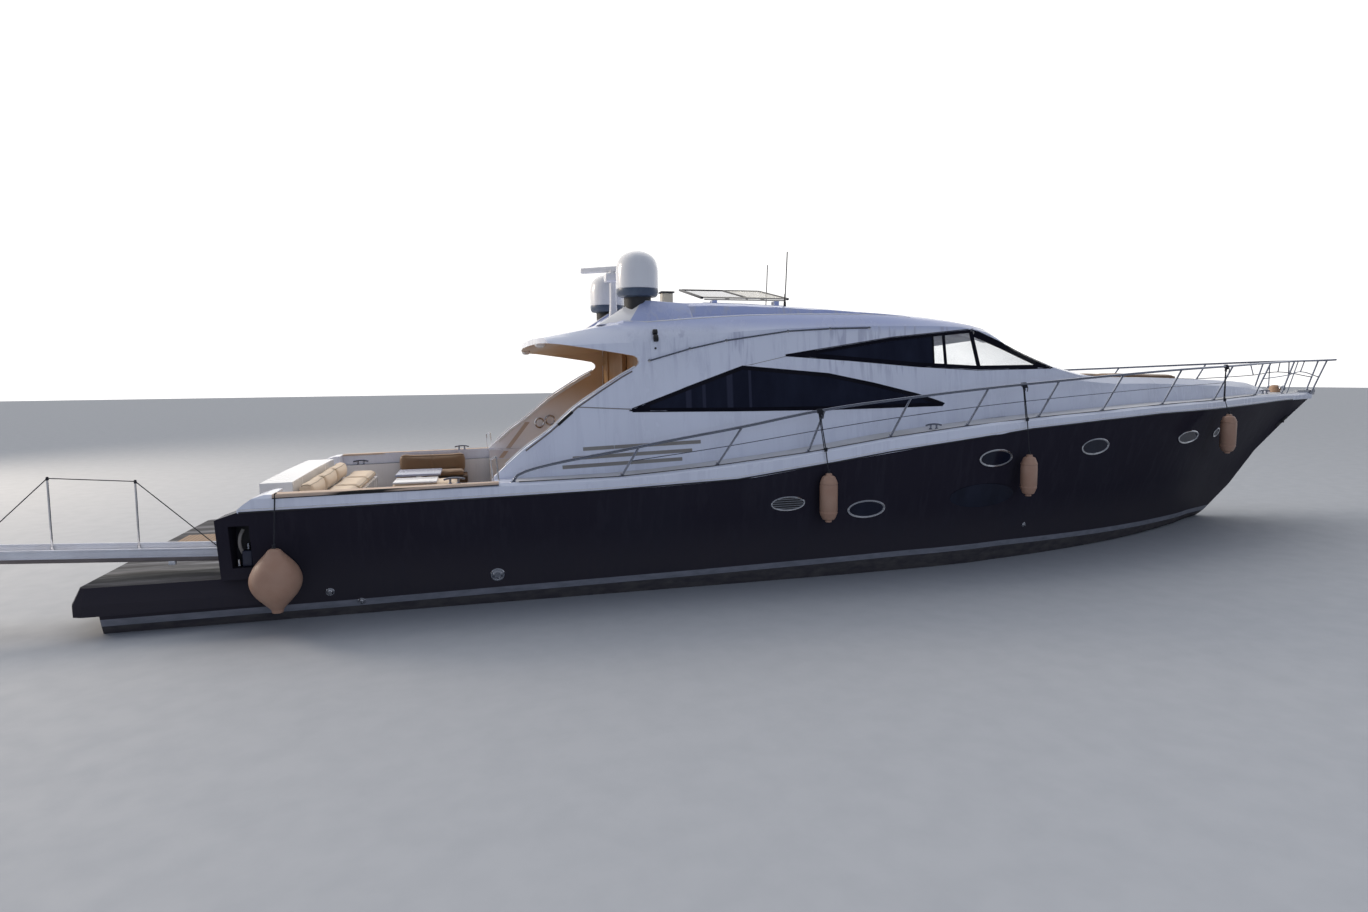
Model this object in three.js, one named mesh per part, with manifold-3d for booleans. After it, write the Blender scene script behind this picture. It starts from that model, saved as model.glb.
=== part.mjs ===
// A 22 m motor yacht with a hardtop, in millimetres: +X to the bow, +Y to port, +Z up.
// The origin is on the centreline at the waterline, under the aft end of the swim platform.
import * as THREE from "three";
import { mergeVertices } from "three/addons/utils/BufferGeometryUtils.js";
import Module from "manifold-3d";

const wasm = await Module();
wasm.setup();

const yacht = new THREE.Group();

// Clearance between pieces that touch on the real boat
const GAP = 0.3;
// The starboard side is -Y and the port side is +Y
const SIDES = [
  ["starboard", -1],
  ["port", 1],
];

// Paint, metal, glass and cloth: colour, roughness, metalness
const FINISH = {
  hull: ["#2b303b", 0.25, 0.1],
  white: ["#e9e9ee", 0.3, 0.0],
  cream: ["#d9cdb8", 0.7, 0.0],
  tan: ["#a98a62", 0.8, 0.0],
  teak: ["#8a6f52", 0.75, 0.0],
  glass: ["#11151c", 0.05, 0.2],
  clear: ["#4a545c", 0.05, 0.1],
  steel: ["#c9ccd0", 0.2, 1.0],
  bronze: ["#9a7a4a", 0.4, 0.9],
  black: ["#17181a", 0.5, 0.2],
  fender: ["#b9a58c", 0.6, 0.0],
  engine: ["#c8ccd0", 0.5, 0.3],
};

function material(name) {
  const [color, roughness, metalness] = FINISH[name];
  return new THREE.MeshStandardMaterial({ color, roughness, metalness });
}

// A closed three.js geometry as a solid that can be cut and joined
function solid(geometry) {
  const bare = geometry.index ? geometry.toNonIndexed() : geometry.clone();
  bare.deleteAttribute("normal");
  bare.deleteAttribute("uv");
  const merged = mergeVertices(bare, 1e-3);
  const vertProperties = merged.attributes.position.array;
  const triVerts = new Uint32Array(merged.index.array);
  return new wasm.Manifold(new wasm.Mesh({ numProp: 3, vertProperties, triVerts }));
}

function geometryOf(body) {
  const { vertProperties, triVerts } = body.getMesh();
  const geometry = new THREE.BufferGeometry();
  geometry.setAttribute("position", new THREE.BufferAttribute(Float32Array.from(vertProperties), 3));
  geometry.setIndex(new THREE.BufferAttribute(Uint32Array.from(triVerts), 1));
  geometry.computeVertexNormals();
  return geometry;
}

const joined = (bodies) => bodies.reduce((whole, body) => whole.add(body));

function add(name, body, finish) {
  const mesh = new THREE.Mesh(geometryOf(body), material(finish));
  mesh.name = name;
  yacht.add(mesh);
  return mesh;
}

function box([x0, x1], [y0, y1], [z0, z1]) {
  const geometry = new THREE.BoxGeometry(x1 - x0, y1 - y0, z1 - z0);
  return solid(geometry.translate((x0 + x1) / 2, (y0 + y1) / 2, (z0 + z1) / 2));
}

function shapeOf(points) {
  return new THREE.Shape(points.map(([u, v]) => new THREE.Vector2(u, v)));
}

// An outline in X and Z, as thick as the range of Y
function sidePlate(points, [y0, y1]) {
  const geometry = new THREE.ExtrudeGeometry(shapeOf(points), { depth: y1 - y0, bevelEnabled: false });
  return solid(geometry.rotateX(Math.PI / 2).translate(0, y1, 0));
}

// An outline in X and Y, as thick as the range of Z
function planPlate(points, [z0, z1]) {
  const geometry = new THREE.ExtrudeGeometry(shapeOf(points), { depth: z1 - z0, bevelEnabled: false });
  return solid(geometry.translate(0, 0, z0));
}

// A profile of radius and height turned about a vertical axis
function turned(profile, sides, [x, y, z]) {
  const points = profile.map(([radius, height]) => new THREE.Vector2(radius, height));
  const geometry = new THREE.LatheGeometry(points, sides).rotateX(Math.PI / 2);
  return solid(geometry.translate(x, y, z));
}

// A straight round bar between two points
function rod(from, to, radius, sides = 8) {
  const a = new THREE.Vector3(...from);
  const b = new THREE.Vector3(...to);
  const way = b.clone().sub(a);
  const geometry = new THREE.CylinderGeometry(radius, radius, way.length(), sides);
  geometry.applyQuaternion(
    new THREE.Quaternion().setFromUnitVectors(new THREE.Vector3(0, 1, 0), way.clone().normalize()),
  );
  const middle = a.add(b).multiplyScalar(0.5);
  return solid(geometry.translate(middle.x, middle.y, middle.z));
}

// A round tube along a smooth curve through the points
function tube(points, radius, steps, sides = 8) {
  const path = new THREE.CatmullRomCurve3(points.map((point) => new THREE.Vector3(...point)));
  const corners = Array.from({ length: sides }, (unused, i) => (2 * Math.PI * i) / sides);
  const section = shapeOf(corners.map((turn) => [radius * Math.cos(turn), radius * Math.sin(turn)]));
  return solid(new THREE.ExtrudeGeometry(section, { steps, extrudePath: path, bevelEnabled: false }));
}

// A closed body through rings with the same number of points, from aft to forward
function loft(rings) {
  const count = rings[0].length;
  const positions = rings.flat(2);
  const indices = [];
  for (let i = 0; i < rings.length - 1; i += 1) {
    for (let j = 0; j < count; j += 1) {
      const a = i * count + j;
      const b = i * count + ((j + 1) % count);
      indices.push(a, a + count, b, b, a + count, b + count);
    }
  }
  const start = (rings.length - 1) * count;
  for (let j = 1; j < count - 1; j += 1) {
    indices.push(0, j, j + 1);
    indices.push(start, start + j + 1, start + j);
  }
  const geometry = new THREE.BufferGeometry();
  geometry.setAttribute("position", new THREE.Float32BufferAttribute(positions, 3));
  geometry.setIndex(indices);
  return solid(geometry);
}

// The values of a table at x: a smooth curve through each column, which never overshoots
function valuesAt(rows, x) {
  const last = rows.length - 1;
  let i = 0;
  while (i < last - 1 && x > rows[i + 1][0]) i += 1;
  const step = rows[i + 1][0] - rows[i][0];
  const t = Math.min(Math.max((x - rows[i][0]) / step, 0), 1);
  const secant = (k, c) => (rows[k + 1][c] - rows[k][c]) / (rows[k + 1][0] - rows[k][0]);
  const slope = (k, c) => {
    if (k === 0) return secant(0, c);
    if (k === last) return secant(last - 1, c);
    const before = secant(k - 1, c);
    const after = secant(k, c);
    return before * after > 0 ? (2 * before * after) / (before + after) : 0;
  };
  return rows[i].map((start, c) => {
    const end = rows[i + 1][c];
    const rise = 2 * t ** 3 - 3 * t ** 2 + 1;
    return (
      start * rise + end * (1 - rise) +
      slope(i, c) * step * (t ** 3 - 2 * t ** 2 + t) +
      slope(i + 1, c) * step * (t ** 3 - t ** 2)
    );
  });
}

// A ring at x from the starboard half of a section, listed from the keel up to the crown
function ringAt(x, half) {
  const starboard = half.map(([y, z]) => [x, -y, z]);
  const port = half.filter(([y]) => y > 0).map(([y, z]) => [x, y, z]);
  return [...starboard, ...port.reverse()];
}

// Equal steps from the first to the last station
const stations = (from, to, count) =>
  Array.from({ length: count }, (unused, i) => from + ((to - from) * i) / (count - 1));

// An outline moved inwards by a distance, for a pane inside its opening
function inset(points, distance) {
  const area = points.reduce((sum, [u, v], i) => {
    const [p, q] = points[(i + 1) % points.length];
    return sum + u * q - p * v;
  }, 0);
  const turn = Math.sign(area) * distance;
  const edges = points.map(([u, v], i) => {
    const [p, q] = points[(i + 1) % points.length];
    const length = Math.hypot(p - u, q - v);
    const normal = [(-(q - v) / length) * turn, ((p - u) / length) * turn];
    return { at: [u + normal[0], v + normal[1]], way: [p - u, q - v] };
  });
  return edges.map((edge, i) => {
    const before = edges[(i + edges.length - 1) % edges.length];
    const cross = before.way[0] * edge.way[1] - before.way[1] * edge.way[0];
    const offset = [edge.at[0] - before.at[0], edge.at[1] - before.at[1]];
    const along = (offset[0] * edge.way[1] - offset[1] * edge.way[0]) / cross;
    return [before.at[0] + before.way[0] * along, before.at[1] + before.way[1] * along];
  });
}

// Hull: bottom, chine, topsides and the line where the white moulding starts.
// x, keelZ, chineHalf, chineZ, middleHalf, middleZ, topHalf, topZ
const HULL = [
  [300, -700, 2280, -60, 2440, 500, 2540, 1400],
  [1900, -760, 2290, -60, 2460, 600, 2600, 1430],
  [4000, -850, 2300, -60, 2510, 650, 2695, 1470],
  [6240, -920, 2310, -50, 2540, 700, 2720, 1510],
  [8150, -950, 2320, -40, 2550, 750, 2728, 1580],
  [9520, -950, 2320, -30, 2560, 800, 2730, 1750],
  [11600, -920, 2270, -20, 2530, 900, 2722, 2000],
  [13000, -880, 2080, -10, 2360, 1000, 2595, 2140],
  [14500, -800, 1790, 10, 2080, 1100, 2375, 2220],
  [16000, -680, 1390, 30, 1690, 1200, 2025, 2280],
  [17800, -430, 720, 70, 1090, 1300, 1475, 2300],
  [19140, 0, 150, 140, 560, 1350, 1010, 2330],
  [19930, 600, 60, 660, 330, 1500, 710, 2350],
  [20530, 1240, 30, 1270, 180, 1750, 470, 2370],
  [21210, 1790, 15, 1805, 90, 2080, 240, 2385],
  [22000, 2375, 6, 2380, 12, 2388, 24, 2398],
];
const HULL_AFT = HULL[0][0];
const HULL_BOW = HULL.at(-1)[0];
const HULL_STATIONS = 32;
const TOPSIDE_STEPS = 5;

function hullHalf(x) {
  const [, keelZ, chineHalf, chineZ, middleHalf, middleZ, topHalf, topZ] = valuesAt(HULL, x);
  const chine = new THREE.Vector2(chineHalf, chineZ);
  const top = new THREE.Vector2(topHalf, topZ);
  const pull = new THREE.Vector2(2 * middleHalf, 2 * middleZ);
  pull.sub(chine.clone().add(top).multiplyScalar(0.5));
  const topside = new THREE.QuadraticBezierCurve(chine, pull, top).getPoints(TOPSIDE_STEPS);
  return [[0, keelZ], ...topside.map((point) => [point.x, point.y]), [0, topZ]];
}

// Deck edge: half beam and height of the white moulding's outer top edge.
// x, half, z
const DECK = [
  [1900, 2620, 1625],
  [4000, 2720, 1650],
  [6500, 2745, 1680],
  [7800, 2750, 1770],
  [9200, 2752, 1910],
  [10450, 2750, 2080],
  [11600, 2745, 2200],
  [13000, 2620, 2300],
  [14500, 2400, 2370],
  [16100, 2025, 2430],
  [17800, 1500, 2460],
  [19500, 890, 2510],
  [21000, 350, 2510],
  [22060, 45, 2500],
];
const DECK_AFT = DECK[0][0];
const DECK_BOW = DECK.at(-1)[0];
const DECK_CAMBER = 30;
const MOULDING_ROUND = 40;
// How far the moulding's lip hangs over the hull's top edge
const MOULDING_LAP = 10;
const deckHalf = (x) => valuesAt(DECK, x)[1];
const deckZ = (x) => valuesAt(DECK, x)[2];
const hullTopZ = (x) => valuesAt(HULL, Math.min(x, HULL_BOW))[7];

function deckHalfSection(x) {
  const half = deckHalf(x);
  const z = deckZ(x);
  const round = Math.min(MOULDING_ROUND, half * 0.3);
  return [
    [0, hullTopZ(x) - MOULDING_LAP],
    [half - round * 0.3, hullTopZ(x) - MOULDING_LAP],
    [half, hullTopZ(x) + MOULDING_ROUND],
    [half, z - round],
    [half - round, z],
    [half * 0.5, z + DECK_CAMBER * 0.7],
    [0, z + DECK_CAMBER],
  ];
}

// The coachroof on the foredeck, which the windscreen stands on.
// x, half, topZ
const TRUNK = [
  [12700, 1950, 3060],
  [13300, 1915, 3055],
  [13900, 1870, 3020],
  [14600, 1770, 2965],
  [15400, 1620, 2900],
  [16500, 1350, 2890],
  [17800, 1060, 2845],
  [18800, 800, 2810],
  [19800, 480, 2755],
  [20620, 220, 2600],
  [20900, 130, 2530],
];
const TRUNK_CROWN = 20;
const TRUNK_FLARE = 60;
const TRUNK_SHOULDER = 110;

function trunk(grow) {
  const rings = stations(TRUNK[0][0] - grow, TRUNK.at(-1)[0] + grow, 16).map((x) => {
    const [, half, topZ] = valuesAt(TRUNK, x);
    const shoulder = Math.min(TRUNK_SHOULDER, half * 0.4);
    return ringAt(x, [
      [0, hullTopZ(x) + 50 - grow],
      [half + TRUNK_FLARE + grow, hullTopZ(x) + 50 - grow],
      [half + grow, topZ - shoulder + grow],
      [half - shoulder + grow, topZ + grow],
      [0, topZ + TRUNK_CROWN + grow],
    ]);
  });
  return loft(rings);
}

// Superstructure: side walls, shoulder and crown of the cabin, from the wings to the windscreen foot.
// x, baseHalf, sideHalf, sideZ, shoulderHalf, shoulderZ, crownHalf, crownZ, centreZ
const CABIN = [
  [4600, 2340, 2230, 3300, 2100, 3400, 1400, 3420, 3430],
  [5460, 2330, 2220, 3410, 2070, 3510, 1400, 3535, 3550],
  [6000, 2320, 2180, 3430, 1980, 3610, 1400, 3640, 3660],
  [6400, 2310, 2150, 3450, 1920, 3690, 1410, 3730, 3750],
  [6760, 2300, 2110, 3465, 1880, 3735, 1440, 3930, 3915],
  [7050, 2300, 2090, 3480, 1850, 3775, 1460, 4050, 4085],
  [8000, 2300, 2060, 3590, 1820, 3860, 1480, 4085, 4140],
  [9000, 2300, 2040, 3670, 1800, 3920, 1470, 4068, 4130],
  [10500, 2290, 2010, 3725, 1800, 3930, 1440, 3993, 4080],
  [11500, 2260, 1990, 3730, 1800, 3870, 1400, 3938, 4020],
  [12100, 2220, 1970, 3720, 1790, 3810, 1350, 3885, 3970],
  [12600, 2170, 1940, 3640, 1740, 3715, 1280, 3820, 3930],
  [13000, 2130, 1930, 3430, 1700, 3490, 1150, 3740, 3890],
  [13400, 2070, 1910, 3250, 1630, 3345, 1000, 3620, 3800],
  [14000, 1990, 1880, 3060, 1500, 3160, 900, 3355, 3620],
  [14700, 1800, 1700, 2930, 1300, 3010, 750, 3140, 3350],
  [15400, 1400, 1350, 2850, 1050, 2910, 600, 2990, 3120],
  [16000, 900, 860, 2830, 650, 2865, 350, 2890, 2965],
  [16400, 300, 280, 2800, 200, 2850, 100, 2870, 2890],
];
const CABIN_BASE_Z = 1400;
const CABIN_WALL = 80;
const CABIN_INSIDE_AFT = CABIN[0][0] - 100;

// The table's own stations with one more between each two
const CABIN_STATIONS = CABIN.slice(1).flatMap(([x], i) => [(CABIN[i][0] + x) / 2, x]).slice(0, -1);

// The cabin's outer body, smaller by a distance; a negative one makes it larger
function cabin(shrink, from = CABIN[0][0]) {
  const to = CABIN.at(-1)[0] - Math.max(shrink, 0) * 2.5;
  const rings = [from, ...CABIN_STATIONS.filter((x) => x < to), to].map((x) => {
    const [, base, side, sideZ, shoulder, shoulderZ, crown, crownZ, centreZ] = valuesAt(CABIN, x);
    const inner = (half) => Math.max(half - shrink, half * 0.1);
    return ringAt(x, [
      [0, CABIN_BASE_Z],
      [inner(base), CABIN_BASE_Z],
      [inner(side), sideZ - shrink * 0.3],
      [inner((side + shoulder) / 2), (sideZ + shoulderZ) / 2 + 25 - shrink * 0.7],
      [inner(shoulder), shoulderZ - shrink],
      [inner(crown), crownZ - shrink],
      [0, centreZ - shrink],
    ]);
  });
  return loft(rings);
}

// Side view of the superstructure: the diagonal wing, the notch under the hardtop and its aft tip
const WING_FOOT = [4840, 1400];
const WING_TOP_Z = 3270;
const SUPERSTRUCTURE = [
  WING_FOOT,
  [4900, 1700],
  [5580, 2300],
  [6020, 2650],
  [6340, 2890],
  [6510, 2920],
  [6760, 3095],
  [6830, 3150],
  [6860, 3205],
  [6830, 3260],
  [6720, 3310],
  [6257, 3382],
  [5840, 3440],
  [5530, 3465],
  [5000, 3480],
  [5000, 4500],
  [17000, 4500],
  [17000, 1400],
];
// Plan view of the hardtop's aft edge, the port half from the centreline out: x, half
const HARDTOP_AFT = [
  [5455, 0],
  [5470, 700],
  [5500, 1300],
  [5560, 1900],
  [5640, 2130],
  [5800, 2300],
];
// The line where the roof moulding meets the cabin's sides and pillars
const SEAM = [
  [5000, 3190],
  [6950, 3205],
  [7080, 3222],
  [7670, 3387],
  [8210, 3504],
  [9160, 3640],
  [9830, 3680],
  [10470, 3697],
  [11500, 3725],
  [12330, 3740],
  [12700, 3700],
  [13300, 3500],
  [14000, 3330],
  [17000, 3300],
];
const LOWER_WINDOW = [
  [6790, 2530],
  [7600, 2850],
  [8440, 3140],
  [9790, 3020],
  [10540, 2870],
  [11300, 2690],
  [11770, 2540],
  [11730, 2500],
  [9790, 2480],
  [8350, 2490],
];
const UPPER_WINDOW = [
  [9190, 3300],
  [10860, 3550],
  [12330, 3690],
  [13910, 3080],
  [12400, 3060],
  [11320, 3120],
  [10140, 3220],
];
// Plan view of the windscreen, the starboard half from the roof to the foot
const SCREEN_HALF = [
  [13750, 0],
  [13350, 1100],
  [12800, 1680],
  [13300, 1760],
  [14000, 1760],
  [14350, 1660],
  [15200, 1240],
  [15900, 700],
  [16150, 300],
  [16180, 0],
];
const SCREEN = [
  ...SCREEN_HALF.map(([x, y]) => [x, -y]),
  ...SCREEN_HALF.slice(1, -1).reverse(),
];
const GLASS_SET_BACK = 12;
const GLASS_THICK = 16;
const PANE_GAP = 0.5;
const SUNROOF = { x: [8330, 9620], half: 600, coaming: 45, rise: 60 };
// The sunroof's lid turns on a bar along its starboard edge, which lies on saddles on the coaming
const LID = {
  x: [8220, 9730],
  hingeY: -715,
  hingeZ: 4215,
  bar: 14,
  width: 1430,
  thick: 36,
  lift: 24,
  tilt: 11,
};

const SALOON = { x: [7060, 12900], half: 2100, floorZ: 1540, soleThick: 60 };
const COCKPIT = { x: [2300, 7050], step: 4900, half: 2440, innerHalf: 2120, floorZ: 890, soleThick: 60 };
const ENGINE_ROOM = { x: [3000, 6000], half: 1650, z: -200 };
const ENGINE = { x: [3500, 5500], y: [450, 1450], height: 900 };
// The swim platform, whose wings run forward outside the quarters
const PLATFORM = {
  aft: 0,
  forward: 1740,
  wing: 2050,
  half: 2450,
  topZ: 580,
  lowZ: 250,
  corner: 150,
  bevel: [90, 190],
};
const TRANSOM_X = 1750;
// The hull's sides run on past the transom, with a mooring recess in each
const QUARTER = {
  aft: 1640,
  inner: 2150,
  topLine: [[1500, 1295], [1900, 1432]],
  recess: { x: [1780, 2010], innerY: 2260, z: [730, 1260] },
};
// A way through on each side, from the platform up to the cockpit
const PASSAGE = { x: [1700, 2310], y: [1560, 2110], floorZ: 765 };

// The well's outline in plan: wide between the coamings, narrower between the wings
const wellPlan = (grow, half) => [
  [COCKPIT.x[0] - grow, -half - grow],
  [COCKPIT.step + grow, -half - grow],
  [COCKPIT.step + grow, -COCKPIT.innerHalf - grow],
  [COCKPIT.x[1] + grow, -COCKPIT.innerHalf - grow],
  [COCKPIT.x[1] + grow, COCKPIT.innerHalf + grow],
  [COCKPIT.step + grow, COCKPIT.innerHalf + grow],
  [COCKPIT.step + grow, half + grow],
  [COCKPIT.x[0] - grow, half + grow],
];
// The range of Y on one side from an inner to an outer half breadth
const span = (sign, inner, outer) => [sign * inner, sign * outer].sort((a, b) => a - b);
const passages = () =>
  joined(SIDES.map(([, sign]) => box(PASSAGE.x, span(sign, ...PASSAGE.y), [PASSAGE.floorZ, 3000])));
const saloonHole = (z) =>
  box([SALOON.x[0] - 10, SALOON.x[1]], [-SALOON.half, SALOON.half], [z, 4000]);

// Shaft lines: casing from the hull to the bracket, then the propeller and the rudder
const SHAFT = { y: 850, aft: [1650, -980], forward: [4500, -520], radius: 45 };
const PROPELLER = { radius: 380, hub: 75, length: 170, blades: 5, pitch: 32 };
// The rudder stock turns under a round port on the hull's bottom
const RUDDER = {
  stockX: 800,
  z: [-1330, -600],
  chord: 460,
  thick: 60,
  stock: 28,
  portRadius: 75,
  portZ: -510,
};

// The hull's outer body, larger by a distance
function hullBody(grow) {
  const rings = stations(HULL_AFT, HULL_BOW, HULL_STATIONS).map((x) => {
    const half = hullHalf(x);
    const top = half.length - 2;
    return ringAt(x, half.map(([y, z], i) => [y > 0 ? y + grow : 0, i < top ? z - grow : z + grow]));
  });
  return loft(rings);
}

function buildHull() {
  const { aft, inner, recess, topLine } = QUARTER;
  const overPlatform = joined([
    box([0, TRANSOM_X], [-inner, inner], [PLATFORM.lowZ - GAP, 3000]),
    ...SIDES.map(([, sign]) =>
      box([0, PLATFORM.wing + GAP], span(sign, inner, 3000), [PLATFORM.lowZ - GAP, PLATFORM.topZ + GAP])),
    box([0, aft], [-3000, 3000], [PLATFORM.lowZ - GAP, 3000]),
    sidePlate([...topLine, [topLine[1][0], 3000], [topLine[0][0], 3000]], [-3000, 3000]),
    ...SIDES.map(([, sign]) => box(recess.x, span(sign, recess.innerY, 3000), recess.z)),
  ]);
  const rudderPorts = SIDES.map(([, sign]) => rod([RUDDER.stockX, sign * SHAFT.y, -400],
    [RUDDER.stockX, sign * SHAFT.y, RUDDER.portZ], RUDDER.portRadius, 16));
  const engineRoom = box(ENGINE_ROOM.x, [-ENGINE_ROOM.half, ENGINE_ROOM.half], [ENGINE_ROOM.z, 1000]);
  const hull = joined([hullBody(0), ...rudderPorts])
    .subtract(overPlatform)
    .subtract(passages())
    .subtract(planPlate(wellPlan(0, COCKPIT.half), [COCKPIT.floorZ, 3000]))
    .subtract(engineRoom)
    .subtract(saloonHole(SALOON.floorZ));
  add("hull", hull, "hull");
  for (const [side, sign] of SIDES) {
    const z = ENGINE_ROOM.z + GAP;
    add(`engine_${side}`, box(ENGINE.x, span(sign, ...ENGINE.y), [z, z + ENGINE.height]), "engine");
  }
}

function buildDeck() {
  const rings = stations(DECK_AFT, DECK_BOW, HULL_STATIONS).map((x) => ringAt(x, deckHalfSection(x)));
  const deck = loft(rings)
    .add(trunk(0))
    .subtract(hullBody(3 * GAP))
    .subtract(planPlate(wellPlan(0, COCKPIT.half + 60), [1000, 3000]))
    .subtract(passages())
    .subtract(saloonHole(1000));
  const overTransom = box([TRANSOM_X, PASSAGE.x[1]], [-PASSAGE.y[0], PASSAGE.y[0]], [1000, 3000]);
  add("deck_moulding", deck.subtract(overTransom), "white");
  add("transom_moulding", deck.intersect(overTransom), "white");
}

function buildPlatform() {
  const { aft, forward, wing, half, topZ, lowZ, corner, bevel: [bevelIn, bevelDown] } = PLATFORM;
  const outline = shapeOf([
    [aft, -half + corner],
    [aft + corner * 0.3, -half + corner * 0.3],
    [aft + corner, -half],
    [wing + bevelIn, -half],
    [wing + bevelIn, half],
    [aft + corner, half],
    [aft + corner * 0.3, half - corner * 0.3],
    [aft, half - corner],
  ]);
  const slab = new THREE.ExtrudeGeometry(outline, {
    depth: topZ - lowZ - bevelDown + bevelIn,
    bevelThickness: bevelDown,
    bevelSize: bevelIn,
    bevelOffset: -bevelIn,
    bevelSegments: 1,
  });
  const inner = QUARTER.inner + GAP;
  const platform = solid(slab.translate(0, 0, lowZ - bevelIn))
    .intersect(box([aft, wing], [-half, half], [lowZ, topZ]))
    .subtract(box([forward, wing + 1], [-inner, inner], [lowZ - 1, topZ + 1]));
  add("swim_platform", platform, "hull");
}

function buildSoles() {
  const cockpitSole = planPlate(wellPlan(-GAP, COCKPIT.half), [
    COCKPIT.floorZ + GAP,
    COCKPIT.floorZ + COCKPIT.soleThick,
  ]);
  add("cockpit_sole", cockpitSole, "teak");
  const saloonSole = box(
    [SALOON.x[0] - 10 + GAP, SALOON.x[1] - GAP],
    [-SALOON.half + GAP, SALOON.half - GAP],
    [SALOON.floorZ + GAP, SALOON.floorZ + SALOON.soleThick],
  );
  add("saloon_sole", saloonSole, "teak");
}

// A closed block over or under the seam line, through the whole width
function bySeam(above) {
  const edgeZ = above ? 5000 : 1000;
  const shift = above ? 0 : -GAP;
  const line = SEAM.map(([x, z]) => [x, z + shift]);
  return sidePlate([[SEAM[0][0] - 1000, SEAM[0][1] + shift], ...line,
    [SEAM.at(-1)[0], edgeZ], [SEAM[0][0] - 1000, edgeZ]], [-3000, 3000]);
}

// The deck and coachroof as a cutter, a gap larger than the moulding
function deckCutter() {
  const rings = stations(DECK_AFT, DECK_BOW, HULL_STATIONS).map((x) => {
    const half = deckHalfSection(x).map(([y, z], i) => [y > 0 ? y + GAP : 0, i < 2 ? 0 : z + GAP]);
    return ringAt(x, half);
  });
  return loft(rings).add(trunk(GAP));
}

function buildSuperstructure() {
  const sideView = sidePlate(SUPERSTRUCTURE, [-3000, 3000]);
  const pane = (points, gap) => sidePlate(inset(points, gap), [-3000, 3000]);
  const screen = (gap) => planPlate(inset(SCREEN, gap), [2700, 4600]);
  const sunroof = box(SUNROOF.x, [-SUNROOF.half, SUNROOF.half], [3700, 4600]);
  const cutter = deckCutter();
  const aftEdge = [...HARDTOP_AFT.slice(1).reverse().map(([x, y]) => [x, -y]), ...HARDTOP_AFT];
  const behindEdge = planPlate([...aftEdge, [4000, 2300], [4000, -2300]], [WING_TOP_Z, 4500]);
  const shell = cabin(0)
    .subtract(cabin(CABIN_WALL, CABIN_INSIDE_AFT))
    .intersect(sideView)
    .subtract(behindEdge)
    .subtract(cutter);
  const glass = cabin(GLASS_SET_BACK)
    .subtract(cabin(GLASS_SET_BACK + GLASS_THICK, CABIN_INSIDE_AFT))
    .subtract(cutter);
  const { x: lidX, half, coaming, rise } = SUNROOF;
  const frame = box([lidX[0] - coaming, lidX[1] + coaming], [-half - coaming, half + coaming], [3900, 5000])
    .intersect(cabin(-rise))
    .subtract(cabin(CABIN_WALL / 2, CABIN_INSIDE_AFT));
  const saddles = [0.15, 0.85].map((share) => {
    const middle = LID.x[0] + share * (LID.x[1] - LID.x[0]);
    return box([middle - 40, middle + 40], [LID.hingeY - 30, -half], [4050, LID.hingeZ - LID.bar - GAP]);
  });
  const roof = joined([shell.intersect(bySeam(true)).subtract(screen(0)), frame]).subtract(sunroof);
  add("roof_moulding", joined([roof, ...saddles.map((saddle) => saddle.subtract(sunroof))]), "white");
  add("windscreen", glass.intersect(screen(PANE_GAP)), "clear");
  const walls = shell
    .intersect(bySeam(false))
    .subtract(screen(0))
    .subtract(pane(LOWER_WINDOW, 0))
    .subtract(pane(UPPER_WINDOW, 0));
  for (const [side, sign] of SIDES) {
    const halfSpace = box([0, 20000], span(sign, 1000, 3000), [0, 5000]);
    add(`cabin_side_${side}`, walls.intersect(halfSpace), "white");
    const sideGlass = glass.intersect(halfSpace);
    add(`window_lower_${side}`, sideGlass.intersect(pane(LOWER_WINDOW, PANE_GAP)), "glass");
    add(`window_upper_${side}`, sideGlass.intersect(pane(UPPER_WINDOW, PANE_GAP)), "glass");
  }
}

// The saloon's aft bulkhead with a fixed pane, and the door that slides behind it
const BULKHEAD = { x: [7060, 7130], doorY: [-1000, 0], paneY: [140, 1500], sill: 120, topZ: 3450 };
const DOOR = { x: [7140, 7180], lap: 50 };

function buildBulkhead() {
  const soleZ = SALOON.floorZ + SALOON.soleThick;
  const { x, doorY, paneY, sill, topZ } = BULKHEAD;
  const cut = [x[0] - 50, x[1] + 50];
  const bulkhead = cabin(CABIN_WALL + GAP * 4, CABIN_INSIDE_AFT)
    .intersect(box(x, [-3000, 3000], [soleZ + GAP, 5000]))
    .subtract(deckCutter())
    .subtract(box(cut, doorY, [0, topZ]))
    .subtract(box(cut, paneY, [soleZ + sill, topZ]));
  add("saloon_bulkhead", bulkhead, "white");
  add("bulkhead_pane", box([x[0] + 25, x[1] - 25], [paneY[0] + PANE_GAP, paneY[1] - PANE_GAP],
    [soleZ + sill + PANE_GAP, topZ - PANE_GAP]), "glass");
  const doorSpan = [doorY[0] - DOOR.lap, doorY[1] + DOOR.lap];
  const door = box(DOOR.x, doorSpan, [soleZ + 0.5, topZ + DOOR.lap]);
  add("saloon_door", door, "glass");
}

// The domes' profile from the foot up, which starts inside the roof: radius, height
const DOME_PROFILE = [
  [0, -350],
  [170, -350],
  [170, 0],
  [290, 20],
  [310, 60],
  [310, 400],
  [290, 500],
  [225, 600],
  [120, 660],
  [0, 680],
];
const DOME = { x: 7060, y: 1370, z: 4150 };
// The radar's post carries a box, over which the scanner turns
const RADAR = { x: 6930, postTop: 4560, boxTop: 4680, scannerZ: 4750, length: 1140, bar: 90, turn: -35 };
const UNDER_ROOF_Z = 3900;

// Whip antennas: name, x, y, height of the tip
const WHIPS = [
  ["antenna_port", 9930, 900, 5020],
  ["antenna_starboard", 9460, -1200, 4920],
];

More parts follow.
